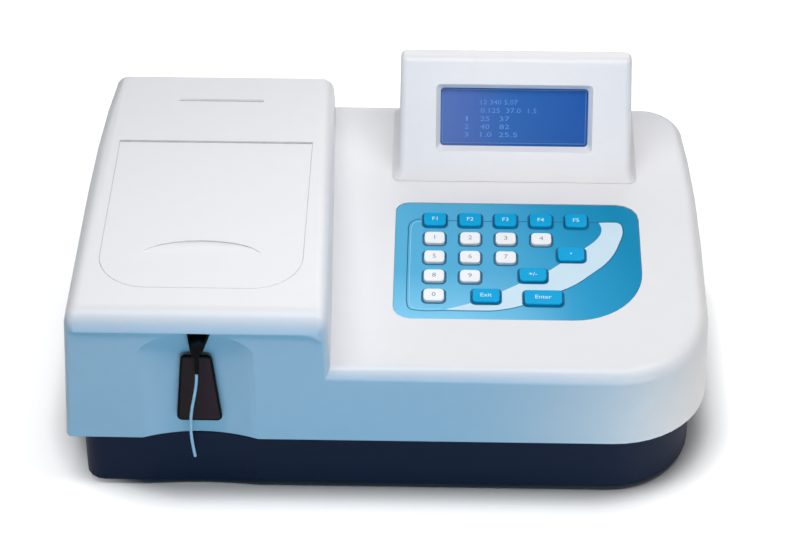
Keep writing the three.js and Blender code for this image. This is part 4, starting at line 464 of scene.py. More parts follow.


# Lid seal: a thin pale strip of foamed rubber glued round the opening, which keeps dust
# out of the seam; it also stands in for light, filling the seam's shade so that it reads
# as a pale line.
# Foamed rubber: chalky and pale, with no highlight.
foamed_rubber = grained("foamed_pale_rubber", "#dcdcde", 0.8, 0.5, 0.2, IOR=1.5)
opening_width, opening_length, opening_middle = 131.86, 159.66, -27.0
front_corner, back_corner = 32.33, 0.7
seal_thickness, seal_height, seal_top = 0.26, 2.2, -0.25
lid_seal_hiding_seam_shade = start_block("lid_seal_hiding_seam_shade", (opening_width, opening_length, seal_height),
                       (0, opening_middle, seal_top - seal_height / 2))
round_corners(lid_seal_hiding_seam_shade, front_corner, 8, lambda place: place.y < 0)
round_corners(lid_seal_hiding_seam_shade, back_corner, 1, lambda place: place.y > 0)
pick_faces(lid_seal_hiding_seam_shade, lambda centre, normal: abs(normal.z) > 0.9)
bpy.ops.mesh.delete(type="FACE")
bpy.ops.object.mode_set(mode="OBJECT")
apply_modifier(lid_seal_hiding_seam_shade, "SOLIDIFY", thickness=seal_thickness / 1000, offset=-1.0, use_even_offset=True)
settle(lid_seal_hiding_seam_shade, tower_place)
soften(lid_seal_hiding_seam_shade, 0.0)
trim(lid_seal_hiding_seam_shade, foamed_rubber)

# Rim shade strip: a flat strip of black foam above the tray's flange, a dark piece that
# stands in for shade: it closes the slot between the tray and the cover's wall, so the
# slot reads dark. It is cut by the cover's own wall, and the waste outside the wall is
# thrown away. Its open pores swallow the light.
black_shade_foam = grained("cut_black_foam_as_shade", "#1b1c1e", 0.9, 0.4, 0.3, IOR=1.5)
foam_width, foam_depth, foam_thickness, foam_foot = 440.0, 300.0, 1.6, 45.05
inner_width, inner_depth, inner_corner, inner_middle = 382.0, 236.0, 66.0, 2.0
rim_shade_strip = start_block("rim_shade_strip", (foam_width, foam_depth, foam_thickness),
                       (0, 0, foam_foot + foam_thickness / 2))
carve(rim_shade_strip, copy_of_solid("upper_cover", "cover_tool"))
pick_faces(rim_shade_strip, lambda centre, normal: (
    abs(centre.x) > foam_width / 2 - 1 or abs(centre.y) > foam_depth / 2 - 1))
bpy.ops.mesh.select_linked()
bpy.ops.mesh.delete(type="FACE")
bpy.ops.object.mode_set(mode="OBJECT")
shade_strip_hole = start_block("shade_strip_hole", (inner_width, inner_depth, 4.0), (0, inner_middle, 46.0))
round_corners(shade_strip_hole, inner_corner, 8, lambda place: place.x > 0 and place.y < 0)
carve(rim_shade_strip, shade_strip_hole)
soften(rim_shade_strip, 0.0)
trim(rim_shade_strip, black_shade_foam)

# Display hood: a leaning wedge in the cover's plastic, moulded hollow, with a sloped
# recess round the display. It is screwed down on the deck from inside.
refine("display_hood", "hood_shell", white_abs, 0.5)


# Display: a blue liquid crystal panel lit from behind, in a pressed steel frame, with a
# pale line round its field and rows of pale figures. It sits behind a clear window.
def paint(piece, material, test):
    """Gives one more finish to the faces that pass the test."""
    piece.data.materials.append(material)
    for face in piece.data.polygons:
        if test(face.center * 1000, face.normal):
            face.material_index = len(piece.data.materials) - 1


cap_share = 0.7
ink_thickness = 0.00003


def lettering(name, body, height, centre, rise, width=None):
    """Printed figures of a given height in mm, centred on a point, with their ink's thickness."""
    bpy.ops.object.select_all(action="DESELECT")
    bpy.ops.object.text_add()
    text = bpy.context.object
    text.name = name
    text.data.body = body
    text.data.size = height / 1000 / cap_share
    text.data.extrude = ink_thickness / 2
    text.data.resolution_u = 2
    bpy.ops.object.convert(target="MESH")
    low = [min(corner[axis] for corner in text.bound_box) for axis in (0, 1)]
    high = [max(corner[axis] for corner in text.bound_box) for axis in (0, 1)]
    stretch = width / 1000 / (high[0] - low[0]) if width else 1.0
    middle = Matrix.Translation((-(low[0] + high[0]) / 2, -(low[1] + high[1]) / 2, 0))
    place = Matrix.Translation(Vector((*centre, rise)) / 1000)
    return settle(text, place @ Matrix.Diagonal((stretch, 1, 1, 1)) @ middle)


hood_foot, hood_height, deck_rise = 36.1, 74.6, 23.1
hood_lean = math.atan(hood_foot / (hood_height + hood_foot * deck_rise / case_depth))
hood_place = Matrix.Translation((0.0825, 0.051, 0.118365)) @ Matrix.Rotation(math.pi / 2 - hood_lean, 4, "X")
screen_x, screen_y = -0.8, 44.6
screen_width, screen_height = 101.0, 40.0
# Pressed steel: a dull silver, faintly cloudy from the press.
pressed_steel = grained("pressed_steel", "#aeb2b7", 0.34, 0.9, 0.08, tone=0.05, Metallic=1.0)
lit_panel = empty_material("backlit_liquid_crystal")
# Blue polariser over an even light, with a painted reflection: paler and greyer at the left,
# where the room would shine in it.
panel_place = add_node(lit_panel, "ShaderNodeTexCoord")
panel_axes = add_node(lit_panel, "ShaderNodeSeparateXYZ", {0: panel_place.outputs["Object"]})
panel_glare_share = add_node(lit_panel, "ShaderNodeMapRange", {
    "Value": panel_axes.outputs["X"], "From Min": 0.0312, "From Max": 0.1322})
# The ramp's paler, greyer left end is a painted reflection, and it glows with the backlight.
panel_blue_and_painted_glare = add_node(lit_panel, "ShaderNodeValToRGB", {0: panel_glare_share.outputs["Result"]})
panel_blue_and_painted_glare.color_ramp.elements[0].color = linear("#5a78ba")
panel_blue_and_painted_glare.color_ramp.elements[1].color = linear("#205aac")
panel_blue_and_painted_glare.color_ramp.elements.new(0.18).color = linear("#5170b8")
panel_blue_and_painted_glare.color_ramp.elements.new(0.45).color = linear("#3069b4")
panel_dots = add_node(lit_panel, "ShaderNodeTexChecker", {
    "Vector": panel_place.outputs["Object"], "Scale": 1800.0, "Color1": (0.97, 0.97, 0.97, 1.0),
    "Color2": linear("#ffffff")})
panel_colour = add_node(lit_panel, "ShaderNodeMix", {
    0: 1.0, 6: panel_blue_and_painted_glare.outputs["Color"], 7: panel_dots.outputs["Color"]},
    data_type="RGBA", blend_type="MULTIPLY")
finish_material(lit_panel, add_node(lit_panel, "ShaderNodeBsdfPrincipled", {
    "Base Color": panel_colour.outputs[2], "Roughness": 0.3, "IOR": 1.5, "Specular IOR Level": 0.1,
    "Emission Color": panel_colour.outputs[2], "Emission Strength": 0.15}))
pale_segments = empty_material("lit_segments")
# Cleared crystal: the pale light behind shows through, a little uneven from dot to dot.
segment_place = add_node(pale_segments, "ShaderNodeTexCoord")
segment_cloud = add_node(pale_segments, "ShaderNodeTexNoise", {
    "Vector": segment_place.outputs["Object"], "Scale": 16000.0, "Detail": 1.0})
segment_tint = add_node(pale_segments, "ShaderNodeMix", {
    0: segment_cloud.outputs["Fac"], 6: linear("#4a80c8"), 7: linear("#74a4e2")}, data_type="RGBA")
finish_material(pale_segments, add_node(pale_segments, "ShaderNodeBsdfPrincipled", {
    "Base Color": segment_tint.outputs[2], "Roughness": 0.3, "IOR": 1.5, "Specular IOR Level": 0.1,
    "Emission Color": segment_tint.outputs[2], "Emission Strength": 0.2}))
panel_width, panel_height, panel_thickness, panel_middle = 113.0, 52.0, 9.0, -11.3
panel = start_block("display_panel", (panel_width, panel_height, panel_thickness),
                    (screen_x, screen_y, panel_middle))
pick_faces(panel, lambda centre, normal: normal.z > 0.9)
# The field lies just under this height, and the pale line starts at line_x and line_y from
# the middle of the screen.
field_height = -7.5
line_x, line_y, line_width = 48.9, 18.4, 0.5
bezel_width, bezel_step, line_margin = 0.005, 0.0008, 0.0019
bpy.ops.mesh.inset(thickness=bezel_width)
bpy.ops.mesh.inset(thickness=0.0003, depth=-bezel_step)
bpy.ops.mesh.inset(thickness=line_margin)
bpy.ops.mesh.inset(thickness=line_width / 1000)
bpy.ops.object.mode_set(mode="OBJECT")
panel.data.materials.append(pressed_steel)
paint(panel, lit_panel, lambda centre, normal: normal.z > 0.9 and centre.z < field_height)
paint(panel, pale_segments, lambda centre, normal: normal.z > 0.9 and centre.z < field_height and (
    0 < abs(centre.x - screen_x) - line_x < line_width or 0 < abs(centre.y - screen_y) - line_y < line_width))
stand_for(settle(panel, hood_place), "lcd_module", pressed_steel)
screen_left, screen_bottom = screen_x - screen_width / 2, screen_y - screen_height / 2
figure_height = 3.3
# Each row: the figures, where they start, how wide they are and how high their middle is.
screen_rows = [
    ("12 340 5.07", 27.5, 25.4, 29.9), ("0.125  37.0  1.5", 27.5, 38.4, 24.1), ("25", 27.5, 6.2, 18.4),
    ("37", 40.5, 6.9, 18.4), ("40", 27.5, 6.2, 12.8), ("82", 40.5, 6.9, 12.8), ("1.0  25.5", 27.5, 25.4, 7.3),
    ("1", 17.4, 1.4, 18.4), ("2", 16.5, 3.0, 12.8), ("3", 16.3, 3.0, 7.3),
]
figures = [lettering(f"figures_{index}", body, figure_height,
                     (screen_left + start + width / 2, screen_bottom + middle), field_height - 0.07, width)
           for index, (body, start, width, middle) in enumerate(screen_rows)]
screen_figures = settle(join_pieces(figures, "screen_figures"), hood_place)
trim(screen_figures, pale_segments)
# Cast acrylic: clear and even, so it shows only as gloss over the display.
clear_acrylic = grained("cast_clear_acrylic", "#24364f", 0.05, 2.0, 0.01, IOR=1.49, Alpha=0.06)
refine("lcd_window", "display_window", clear_acrylic, 0.2)

# Keypad overlay: a polyester sheet printed from behind and glued in a shallow pocket of
# the deck: light blue at the lower left, deeper to the right, with a pale crescent and a
# fine double frame line. A dark line round each key is painted shade at the key's foot.
overlay_film = empty_material("printed_polyester_film")
# Satin film over the ink, which is palest at the lower left and deeper to the right; the
# colour darkens further at the far right edge.
film_place = add_node(overlay_film, "ShaderNodeTexCoord")
film_axes = add_node(overlay_film, "ShaderNodeSeparateXYZ", {0: film_place.outputs["Object"]})
film_slant = add_node(overlay_film, "ShaderNodeMath", {
    0: film_axes.outputs["Y"], 1: 0.3, 2: film_axes.outputs["X"]}, operation="MULTIPLY_ADD")
film_share = add_node(overlay_film, "ShaderNodeMapRange", {
    "Value": film_slant.outputs[0], "From Min": 0.0, "From Max": 0.155})
film_ramp = add_node(overlay_film, "ShaderNodeValToRGB", {0: film_share.outputs["Result"]})
film_ramp.color_ramp.elements[0].color = linear("#59b2da")
film_ramp.color_ramp.elements[1].color = linear("#128bb8")
film_ramp.color_ramp.elements.new(0.4).color = linear("#55aed8")
film_ramp.color_ramp.elements.new(0.72).color = linear("#2b9ccb")
film_low = add_node(overlay_film, "ShaderNodeMapRange", {
    "Value": film_axes.outputs["Y"], "From Min": -0.040, "From Max": -0.082})
film_leftward = add_node(overlay_film, "ShaderNodeMapRange", {
    "Value": film_axes.outputs["X"], "From Min": 0.120, "From Max": 0.045})
film_lift = add_node(overlay_film, "ShaderNodeMath", {
    0: film_low.outputs["Result"], 1: film_leftward.outputs["Result"]}, operation="MULTIPLY")
film_colour = add_node(overlay_film, "ShaderNodeMix", {
    0: film_lift.outputs[0], 6: film_ramp.outputs["Color"], 7: linear("#80cbee")}, data_type="RGBA")
film_grain = add_node(overlay_film, "ShaderNodeTexNoise", {
    "Vector": film_place.outputs["Object"], "Scale": 900.0, "Detail": 2.0})
film_bump = add_node(overlay_film, "ShaderNodeBump", {
    "Height": film_grain.outputs["Fac"], "Strength": 0.03, "Distance": 0.0001})
finish_material(overlay_film, add_node(overlay_film, "ShaderNodeBsdfPrincipled", {
    "Base Color": film_colour.outputs[2], "Roughness": 0.46, "IOR": 1.57, "Specular IOR Level": 0.05,
    "Normal": film_bump.outputs["Normal"]}))
deck_tilt = math.atan(deck_rise / case_depth)
deck_place = Matrix.Translation((0, 0, 0.11405)) @ Matrix.Rotation(deck_tilt, 4, "X")
refine("keypad_overlay", "overlay_sheet", overlay_film, 0.0)


def flat_line(name, points, sharp=(), closed=True, steps=5, width=0.0):
    """A smooth line through points in mm, with corners where they are named, raised by a width in mm."""
    curve = bpy.data.curves.new(name, "CURVE")
    curve.dimensions = "2D"
    curve.fill_mode = "NONE"
    curve.extrude = width / 2000
    curve.resolution_u = steps
    spline = curve.splines.new("BEZIER")
    spline.bezier_points.add(len(points) - 1)
    for index, (x, y) in enumerate(points):
        kind = "VECTOR" if index in sharp else "AUTO"
        spline.bezier_points[index].co = (x / 1000, y / 1000, 0)
        spline.bezier_points[index].handle_left_type = kind
        spline.bezier_points[index].handle_right_type = kind
    spline.use_cyclic_u = closed
    line = bpy.data.objects.new(name, curve)
    bpy.context.scene.collection.objects.link(line)
    select_alone(line)
    bpy.ops.object.convert(target="MESH")
    return line


def standing_shape(name, points, sharp=(), width=0.0):
    """A standing solid inside the closed line, or, with a width in mm, a band along it."""
    shape = flat_line(name, points, sharp)
    bpy.ops.object.mode_set(mode="EDIT")
    bpy.ops.mesh.select_mode(type="EDGE")
    bpy.ops.mesh.select_all(action="SELECT")
    if not width:
        bpy.ops.mesh.edge_face_add()
    bpy.ops.mesh.extrude_region_move(TRANSFORM_OT_translate={"value": (0, 0, 0.001)})
    bpy.ops.object.mode_set(mode="OBJECT")
    if width:
        apply_modifier(shape, "SOLIDIFY", thickness=width / 1000, offset=0.0, use_even_offset=True)
    bpy.ops.object.mode_set(mode="EDIT")
    bpy.ops.mesh.select_mode(type="FACE")
    bpy.ops.mesh.select_all(action="SELECT")
    bpy.ops.mesh.normals_make_consistent(inside=False)
    bpy.ops.object.mode_set(mode="OBJECT")
    return shape


shape_foot = -0.0011


def print_on_sheet(name, shape, lift, material):
    """Keeps the part of the sheet inside the standing shape, as a layer of ink lifted in mm."""
    layer = copy_of_solid("keypad_overlay", name)
    settle(shape, deck_place @ Matrix.Translation((0, 0, shape_foot)))
    carve(layer, shape, "INTERSECT")
    layer.data.transform(Matrix.Translation(deck_place.to_3x3() @ Vector((0, 0, lift / 1000))))
    soften(layer, 0.0)
    layer.data.materials.clear()
    trim(layer, material)


# The crescent's inner side from its top down and its outer side back up, on the deck in mm.
crescent_inner = [(139.3, 11.2), (140.9, 4.4), (138.3, -4.0), (128.5, -15.3), (113.7, -28.8), (104.2, -37.6),
                  (85.3, -50.0), (72.7, -58.3), (54.2, -68.9), (36.0, -76.0)]
crescent_outer = [(55.3, -76.3), (70.4, -75.7), (88.9, -69.8), (109.2, -57.9), (118.6, -52.6), (133.2, -39.4),
                  (144.7, -26.2), (152.0, -9.6), (154.8, 5.5), (152.6, 10.8), (149.0, 11.4)]
crescent = standing_shape("crescent", crescent_inner + crescent_outer, sharp=(0, 9))
# Inks behind the film: flat, a little cloudy where the screen printer's layer thins.
pale_ink = grained("screen_printed_pale_ink", "#cfe6f3", 0.46, 1.2, 0.02, IOR=1.57, Specular_IOR_Level=0.15)
# This blue ink serves both the printed frame line and the painted shade round the keys.
dark_ink_and_shade = grained("screen_printed_blue_ink_and_painted_shade", "#216a92", 0.46, 1.2, 0.02, IOR=1.57, Specular_IOR_Level=0.15)
light_ink = grained("screen_printed_sky_ink", "#a4d6ee", 0.46, 1.2, 0.02, IOR=1.57, Specular_IOR_Level=0.15)
print_on_sheet("overlay_crescent", crescent, 0.02, pale_ink)
frame_line = [(136.0, 11.4), (88.0, 11.4), (40.1, 11.4), (19.8, 12.8), (13.7, 11.0), (10.7, 5.2), (10.6, 1.0),
              (10.6, -65.0), (10.8, -69.0), (12.6, -75.2), (17.0, -76.8), (36.9, -76.9), (55.3, -77.0),
              (70.4, -76.3), (88.9, -70.5), (109.2, -58.6), (118.6, -53.2), (133.2, -40.0), (145.2, -26.6),
              (152.6, -9.8), (155.5, 5.5), (153.0, 11.4), (149.0, 12.1), (142.0, 12.0)]
frame_band = standing_shape("frame_line", frame_line, sharp=(0, 1), width=0.7)
print_on_sheet("overlay_frame_line", frame_band, 0.03, dark_ink_and_shade)
# The inner line's outline goes down its outer side and back up its inner one, 0.3 mm apart.
inner_line = [(30.0, 10.4), (20.0, 10.6), (15.0, 9.4), (12.5, 4.8), (12.3, 1.0), (12.2, -65.0),
              (12.4, -68.6), (14.0, -73.9), (18.0, -75.3), (34.0, -75.5), (34.0, -75.2), (18.4, -75.0),
              (14.3, -73.6), (12.7, -68.6), (12.5, -65.0), (12.6, 1.0), (12.8, 4.6), (15.2, 9.1),
              (20.0, 10.3), (30.0, 10.1)]
print_on_sheet("overlay_inner_line", standing_shape("inner_line", inner_line), 0.01, light_ink)


# Keys: moulded caps of two colours that stand through the sheet's holes, each with its
# printed legend, and a dark line on the sheet round its foot as painted shade.
key_legends = {"point": ".", "sign": "+/-", "exit": "Exit", "enter": "Enter"}
# Polished mould: smooth and slightly glossy, with a faint flow of the pigment.
blue_cap = grained("moulded_blue_cap", "#00a6de", 0.4, 0.6, 0.02, IOR=1.53, Specular_IOR_Level=0.12)
white_cap = grained("moulded_white_cap", "#f3f6f8", 0.36, 0.6, 0.02, IOR=1.53)
# Printed legends: flat ink, a little duller than the caps.
pale_legend = grained("printed_pale_legend", "#d4f1fc", 0.5, 0.6, 0.02, IOR=1.5)
grey_legend = grained("printed_grey_legend", "#8792a0", 0.5, 0.6, 0.02, IOR=1.5)
mark_rise, word_height, digit_height, dot_radius = 1.515, 3.5, 4.0, 0.6
ring_margin, ring_corner = 0.2, 3.8
key_shade_rings = []
for node_name in sorted(name for name in frame["nodes"] if name.startswith("key_")):
    key_name = node_name.removeprefix("key_")
    legend = key_legends.get(key_name, key_name.upper())
    blue = not legend.isdigit()
    cap = copy_of_solid(node_name, node_name + "_cap")
    corners = [deck_place.inverted() @ vertex.co * 1000 for vertex in cap.data.vertices]
    low = [min(corner[axis] for corner in corners) for axis in (0, 1)]
    high = [max(corner[axis] for corner in corners) for axis in (0, 1)]
    centre = ((low[0] + high[0]) / 2, (low[1] + high[1]) / 2)
    soften(cap, 0.25)
    cap.data.materials.append(blue_cap if blue else white_cap)
    if legend == ".":
        mark = start_drum("mark", dot_radius, ink_thickness * 1000, (*centre, mark_rise), sides=16)
    else:
        mark = lettering("mark", legend, word_height if blue else digit_height, centre, mark_rise)
    mark.data.materials.append(pale_legend if blue else grey_legend)
    stand_for(join_pieces([cap, settle(mark, deck_place)], cap.name), node_name, None)
    # Painted shade: a dark band on the sheet round the key's foot, where its shadow falls.
    ring = start_block("ring", (high[0] - low[0] + ring_margin, high[1] - low[1] + ring_margin, 1.0),
                       (*centre, 0.5))
    round_corners(ring, ring_corner, 4, lambda place: True)
    key_shade_rings.append(ring)
print_on_sheet("overlay_key_shade_rings", join_pieces(key_shade_rings, "rings"), 0.04, dark_ink_and_shade)


# Sipper: a glossy black moulded funnel under the niche's ceiling holds the tube, and a
# gloss plate behind it, black at its rim, is pushed to draw a sample.
# Polished black mould: deep black with a soft, close highlight.
gloss_black = grained("moulded_gloss_black", "#040405", 0.3, 1.0, 0.02, IOR=1.5, Specular_IOR_Level=0.05)
refine("sipper_nozzle", "nozzle_funnel", gloss_black, 0.0, crease=50.0)
gloss_brown = empty_material("polished_dark_acrylic")
# A deep gloss with a painted reflection: its tone drifts from one side of the plate to the other.
brown_place = add_node(gloss_brown, "ShaderNodeTexCoord")
brown_axes = add_node(gloss_brown, "ShaderNodeSeparateXYZ", {0: brown_place.outputs["Object"]})
# The drift of tone across the plate is a painted reflection.
brown_reflection_share = add_node(gloss_brown, "ShaderNodeMapRange", {
    "Value": brown_axes.outputs["X"], "From Min": -0.134, "From Max": -0.112})
brown_tint_and_painted_reflection = add_node(gloss_brown, "ShaderNodeMix", {
    0: brown_reflection_share.outputs["Result"], 6: linear("#2c1c1a"), 7: linear("#46222a")}, data_type="RGBA")
brown_haze = add_node(gloss_brown, "ShaderNodeTexNoise", {
    "Vector": brown_place.outputs["Object"], "Scale": 260.0, "Detail": 2.0})
brown_sheen = add_node(gloss_brown, "ShaderNodeMapRange", {
    "Value": brown_haze.outputs["Fac"], "To Min": 0.096, "To Max": 0.144})
finish_material(gloss_brown, add_node(gloss_brown, "ShaderNodeBsdfPrincipled", {
    "Base Color": brown_tint_and_painted_reflection.outputs[2], "Roughness": brown_sheen.outputs["Result"], "IOR": 1.49,
    "Specular IOR Level": 0.1}))
push_plate = refine("sipper_plate", "push_plate_gloss", gloss_brown, 0.4)
pick_faces(push_plate, lambda centre, normal: normal.y < -0.95)
bpy.ops.mesh.inset(thickness=0.0011)
bpy.ops.mesh.select_all(action="DESELECT")
bpy.ops.object.mode_set(mode="OBJECT")
plate_middle, plate_foot, plate_top = -122.0, 58.0, 112.0
foot_half, top_half = 15.0, 10.0
rim_side, rim_end = 1.3, 1.6


def in_plate_field(centre):
    """Tells whether a point of the plate's front lies inside its black rim."""
    half = foot_half + (centre.z - plate_foot) * (top_half - foot_half) / (plate_top - plate_foot)
    return (plate_foot + rim_end < centre.z < plate_top - rim_end
            and abs(centre.x - plate_middle) < half - rim_side)


paint(push_plate, gloss_black, lambda centre, normal: normal.y > -0.95 or not in_plate_field(centre))
# Textured black mould: matt, so that only its rounded edges catch the light.
black_abs = grained("moulded_black_abs", "#131416", 0.45, 0.8, 0.06, IOR=1.53)
refine("sipper_switch", "plate_switch", black_abs, 0.4)

# Bay liner: a deep tray in light grey ABS under the lid, which keeps spills off the
# electronics. The pump, the cell and the printer stand on its floor.
# Textured grey mould: a plain matt finish, a little cloudy.
grey_abs = grained("moulded_grey_abs", "#a3a8ae", 0.48, 0.9, 0.07, IOR=1.53)
refine("bay_liner", "liner_tray", grey_abs, 0.4)

# Printer: a thermal mechanism in a black frame. The paper comes off a loose roll between
# two cheeks, passes under the rubber platen and out at the slot in the cover.
refine("printer_frame", "printer_chassis", black_abs, 0.4)
platen_middle, rubber_half = -121.6, 29.1
platen = refine("platen_roller", "platen", black_rubber, 0.3)
paint(platen, ground_steel, lambda centre, normal: abs(centre.x - platen_middle) > rubber_half)
roll_paper = empty_material("wound_thermal_paper")
# Smooth coated paper: the wound edges show as fine rings on the roll's ends.
roll_place = add_node(roll_paper, "ShaderNodeTexCoord")
roll_centred = add_node(roll_paper, "ShaderNodeMapping", {
    "Vector": roll_place.outputs["Object"], "Location": (0.0, -0.0244, -0.1186)})
roll_rings = add_node(roll_paper, "ShaderNodeTexWave", {
    "Vector": roll_centred.outputs["Vector"], "Scale": 320.0, "Distortion": 0.6, "Detail": 1.0},
    wave_type="RINGS", rings_direction="X")
roll_tint = add_node(roll_paper, "ShaderNodeMix", {
    0: roll_rings.outputs["Fac"], 6: linear("#e6e5df"), 7: linear("#f5f5f1")}, data_type="RGBA")
roll_bump = add_node(roll_paper, "ShaderNodeBump", {
    "Height": roll_rings.outputs["Fac"], "Strength": 0.12, "Distance": 0.0001})
finish_material(roll_paper, add_node(roll_paper, "ShaderNodeBsdfPrincipled", {
    "Base Color": roll_tint.outputs[2], "Roughness": 0.62, "IOR": 1.5,
    "Normal": roll_bump.outputs["Normal"]}))
refine("paper_roll", "thermal_roll", roll_paper, 0.3)

# Paper strip: the free end of the roll, which runs under the platen and up into the slot.
# Its way is drawn from the side, in the tower's frame, and turned upright after that.
strip_route = [(29.0, -8.3), (48.0, -12.7), (68.0, -17.2), (84.0, -21.0), (91.0, -22.15), (94.08, -21.33),
               (96.33, -19.08), (97.15, -16.0), (97.4, -11.5), (98.5, -7.2), (100.0, -5.0), (100.8, -3.6),
               (101.0, -2.4), (101.0, -0.8)]
strip_turn = Matrix(((0, 0, 1, 0), (1, 0, 0, 0), (0, 1, 0, 0), (0, 0, 0, 1)))
paper_width, paper_thickness = 57.0, 0.1
paper_strip = flat_line("paper_strip", strip_route, closed=False, steps=4, width=paper_width)
apply_modifier(paper_strip, "SOLIDIFY", thickness=paper_thickness / 1000, offset=0.0)
settle(paper_strip, tower_place @ strip_turn)
soften(paper_strip, 0.0)
# Cut edge and coated face of the same thermal paper, with its faint fibre.
strip_paper = grained("coated_thermal_paper", "#f2f2ee", 0.6, 0.5, 0.05, tone=0.02, IOR=1.5)
trim(paper_strip, strip_paper)

# Tear bars: two thin strips of the cover's plastic in the slot, one before and one behind
# the paper. The front one has a row of teeth along its top.
bar_front, bar_back = 100.0, 102.0
bar_width, bar_thickness, bar_height, bar_middle = 58.0, 0.8, 2.3, -1.5
tooth_count, tooth_pitch, notch_side, notch_rise = 28, 2.0, 0.85, -0.35
for name, middle in (("tear_bar_front", bar_front), ("tear_bar_back", bar_back)):
    bar = start_block(name, (bar_width, bar_thickness, bar_height), (0, middle, bar_middle))
    if middle == bar_front:
        notches = [start_block("notch", (notch_side, 3.0, notch_side), (0, 0, 0)) for _ in range(tooth_count)]
        for index, notch in enumerate(notches):
            across = (index - (tooth_count - 1) / 2) * tooth_pitch
            settle(notch, Matrix.Translation(Vector((across, middle, notch_rise)) / 1000)
                   @ Matrix.Rotation(math.pi / 4, 4, "Y"))
        carve(bar, join_pieces(notches, "notches"))
    settle(bar, tower_place)
    soften(bar, 0.06)
    trim(bar, white_abs)

# Pump: a moulded cup holds a soft line that three rollers squeeze along. The rotor sits on
# the shaft of a geared motor screwed under the liner's floor.
refine("pump_housing", "pump_cup", grey_abs, 0.4)
# Machined acetal: a waxy off-white with a soft sheen.
acetal = grained("machined_white_acetal", "#e9e7e1", 0.3, 0.6, 0.05, IOR=1.48)
refine("pump_rotor", "pump_rollers", acetal, 0.3)
# Drawn steel can, turned shaft: bright zinc with fine level marks.
motor_steel = grained("drawn_steel_can", "#a9adb2", 0.33, 0.8, 0.1, tone=0.05, stretch=(0.4, 0.4, 3.0),
                      Metallic=1.0)
refine("pump_motor", "pump_gearmotor", motor_steel, 0.4)
# Extruded silicone: milky, so the light goes a little way in and softens its shading.
silicone_rubber = grained("extruded_silicone", "#e6e0d0", 0.38, 0.7, 0.04, IOR=1.41,
                          Subsurface_Weight=0.3, Subsurface_Scale=0.0015)
silicone_line = copy_of_solid("pump_line", "silicone_line")
apply_modifier(silicone_line, "SUBSURF", levels=1, render_levels=1)
soften(silicone_line, 0.0, crease=60.0)
stand_for(silicone_line, "pump_line", silicone_rubber)

# Measuring cell: a fused quartz cell stands in an anodised block, between the beam's
# opening and the black detector that reads it.
# Black anodising: a dark satin, because the oxide's fine pores scatter the light.
black_anodised = grained("black_anodised_aluminium", "#1d1e21", 0.36, 0.5, 0.08, tone=0.06, Metallic=0.6)
refine("flow_cell_block", "cell_block", black_anodised, 0.4)
# Polished quartz: clear as water, seen by its edges and its highlights.
fused_quartz = grained("polished_fused_quartz", "#dfeef2", 0.04, 2.0, 0.01, tone=0.01, IOR=1.458,
                       Transmission_Weight=0.85, Alpha=0.75)
refine("flow_cell", "quartz_cell", fused_quartz, 0.2)
refine("photo_detector", "detector_head", black_abs, 0.3)

# Optics: a halogen lamp in a cast housing throws a beam through the filter wheel. All
# three stand on a milled aluminium bench on the tray's floor.
# Milled metal: a bright satin with the cutter's straight marks from left to right.
milled_aluminium = grained("milled_aluminium", "#c2c6ca", 0.38, 0.6, 0.14, tone=0.05,
                           stretch=(0.3, 3.0, 3.0), Metallic=1.0)
refine("optical_bench", "bench_plate", milled_aluminium, 0.4)
# Cast metal: dull, with the pebbled skin of its mould.
cast_aluminium = grained("cast_aluminium", "#9fa4a9", 0.55, 1.4, 0.3, tone=0.08, Metallic=1.0)
refine("lamp_housing", "lamp_house", cast_aluminium, 0.6)
# Blown quartz: thin and clear, with bright round highlights.
quartz_bulb = grained("blown_quartz_bulb", "#efece2", 0.06, 2.0, 0.02, tone=0.02, IOR=1.458,
                      Transmission_Weight=0.6, Alpha=0.8)
# Fired ceramic: a dry, chalky cream.
lamp_base = grained("fired_ceramic_base", "#d9d4c6", 0.6, 0.5, 0.1, IOR=1.6)
lamp = refine("halogen_lamp", "lamp_bulb", quartz_bulb, 0.2)
base_start = 81.8
paint(lamp, lamp_base, lambda centre, normal: centre.x > base_start)
refine("filter_wheel", "wheel_disc", black_anodised, 0.2)
filter_colours = ["#5a4fa0", "#3c6fb5", "#3fa0a8", "#4aa55e", "#a3b04a", "#d09a3c", "#c8693a", "#a83c3c"]
wheel_middle, filter_circle, filter_radius, filter_thickness = (24.0, -69.3, 69.6), 17.0, 4.45, 2.0
filter_glass = []
for index, colour in enumerate(filter_colours):
    # Interference filter: a hard mirror-like coat on glass, each passing its own colour.
    coated_glass = grained(f"coated_filter_glass_{index + 1}", colour, 0.07, 1.5, 0.01, tone=0.04, IOR=1.52,
                           Coat_Weight=0.6, Coat_Roughness=0.05)
    angle = math.pi / 2 + math.tau * index / len(filter_colours)
    outward = Vector((0.0, math.cos(angle), math.sin(angle)))
    disc = start_drum("filter", filter_radius, filter_thickness,
                      Vector(wheel_middle) + filter_circle * outward, (0, math.pi / 2, 0), sides=24)
    soften(disc, 0.2)
    disc.data.materials.append(coated_glass)
    filter_glass.append(disc)
wheel_filters = join_pieces(filter_glass, "wheel_filters")
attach(wheel_filters, "wheel")
refine("filter_motor", "wheel_motor", motor_steel, 0.4)

# Boards and supply: glass fibre boards under green solder mask with black chips on posts,
# and a folded steel cage round the mains supply.
solder_mask = empty_material("green_solder_mask")
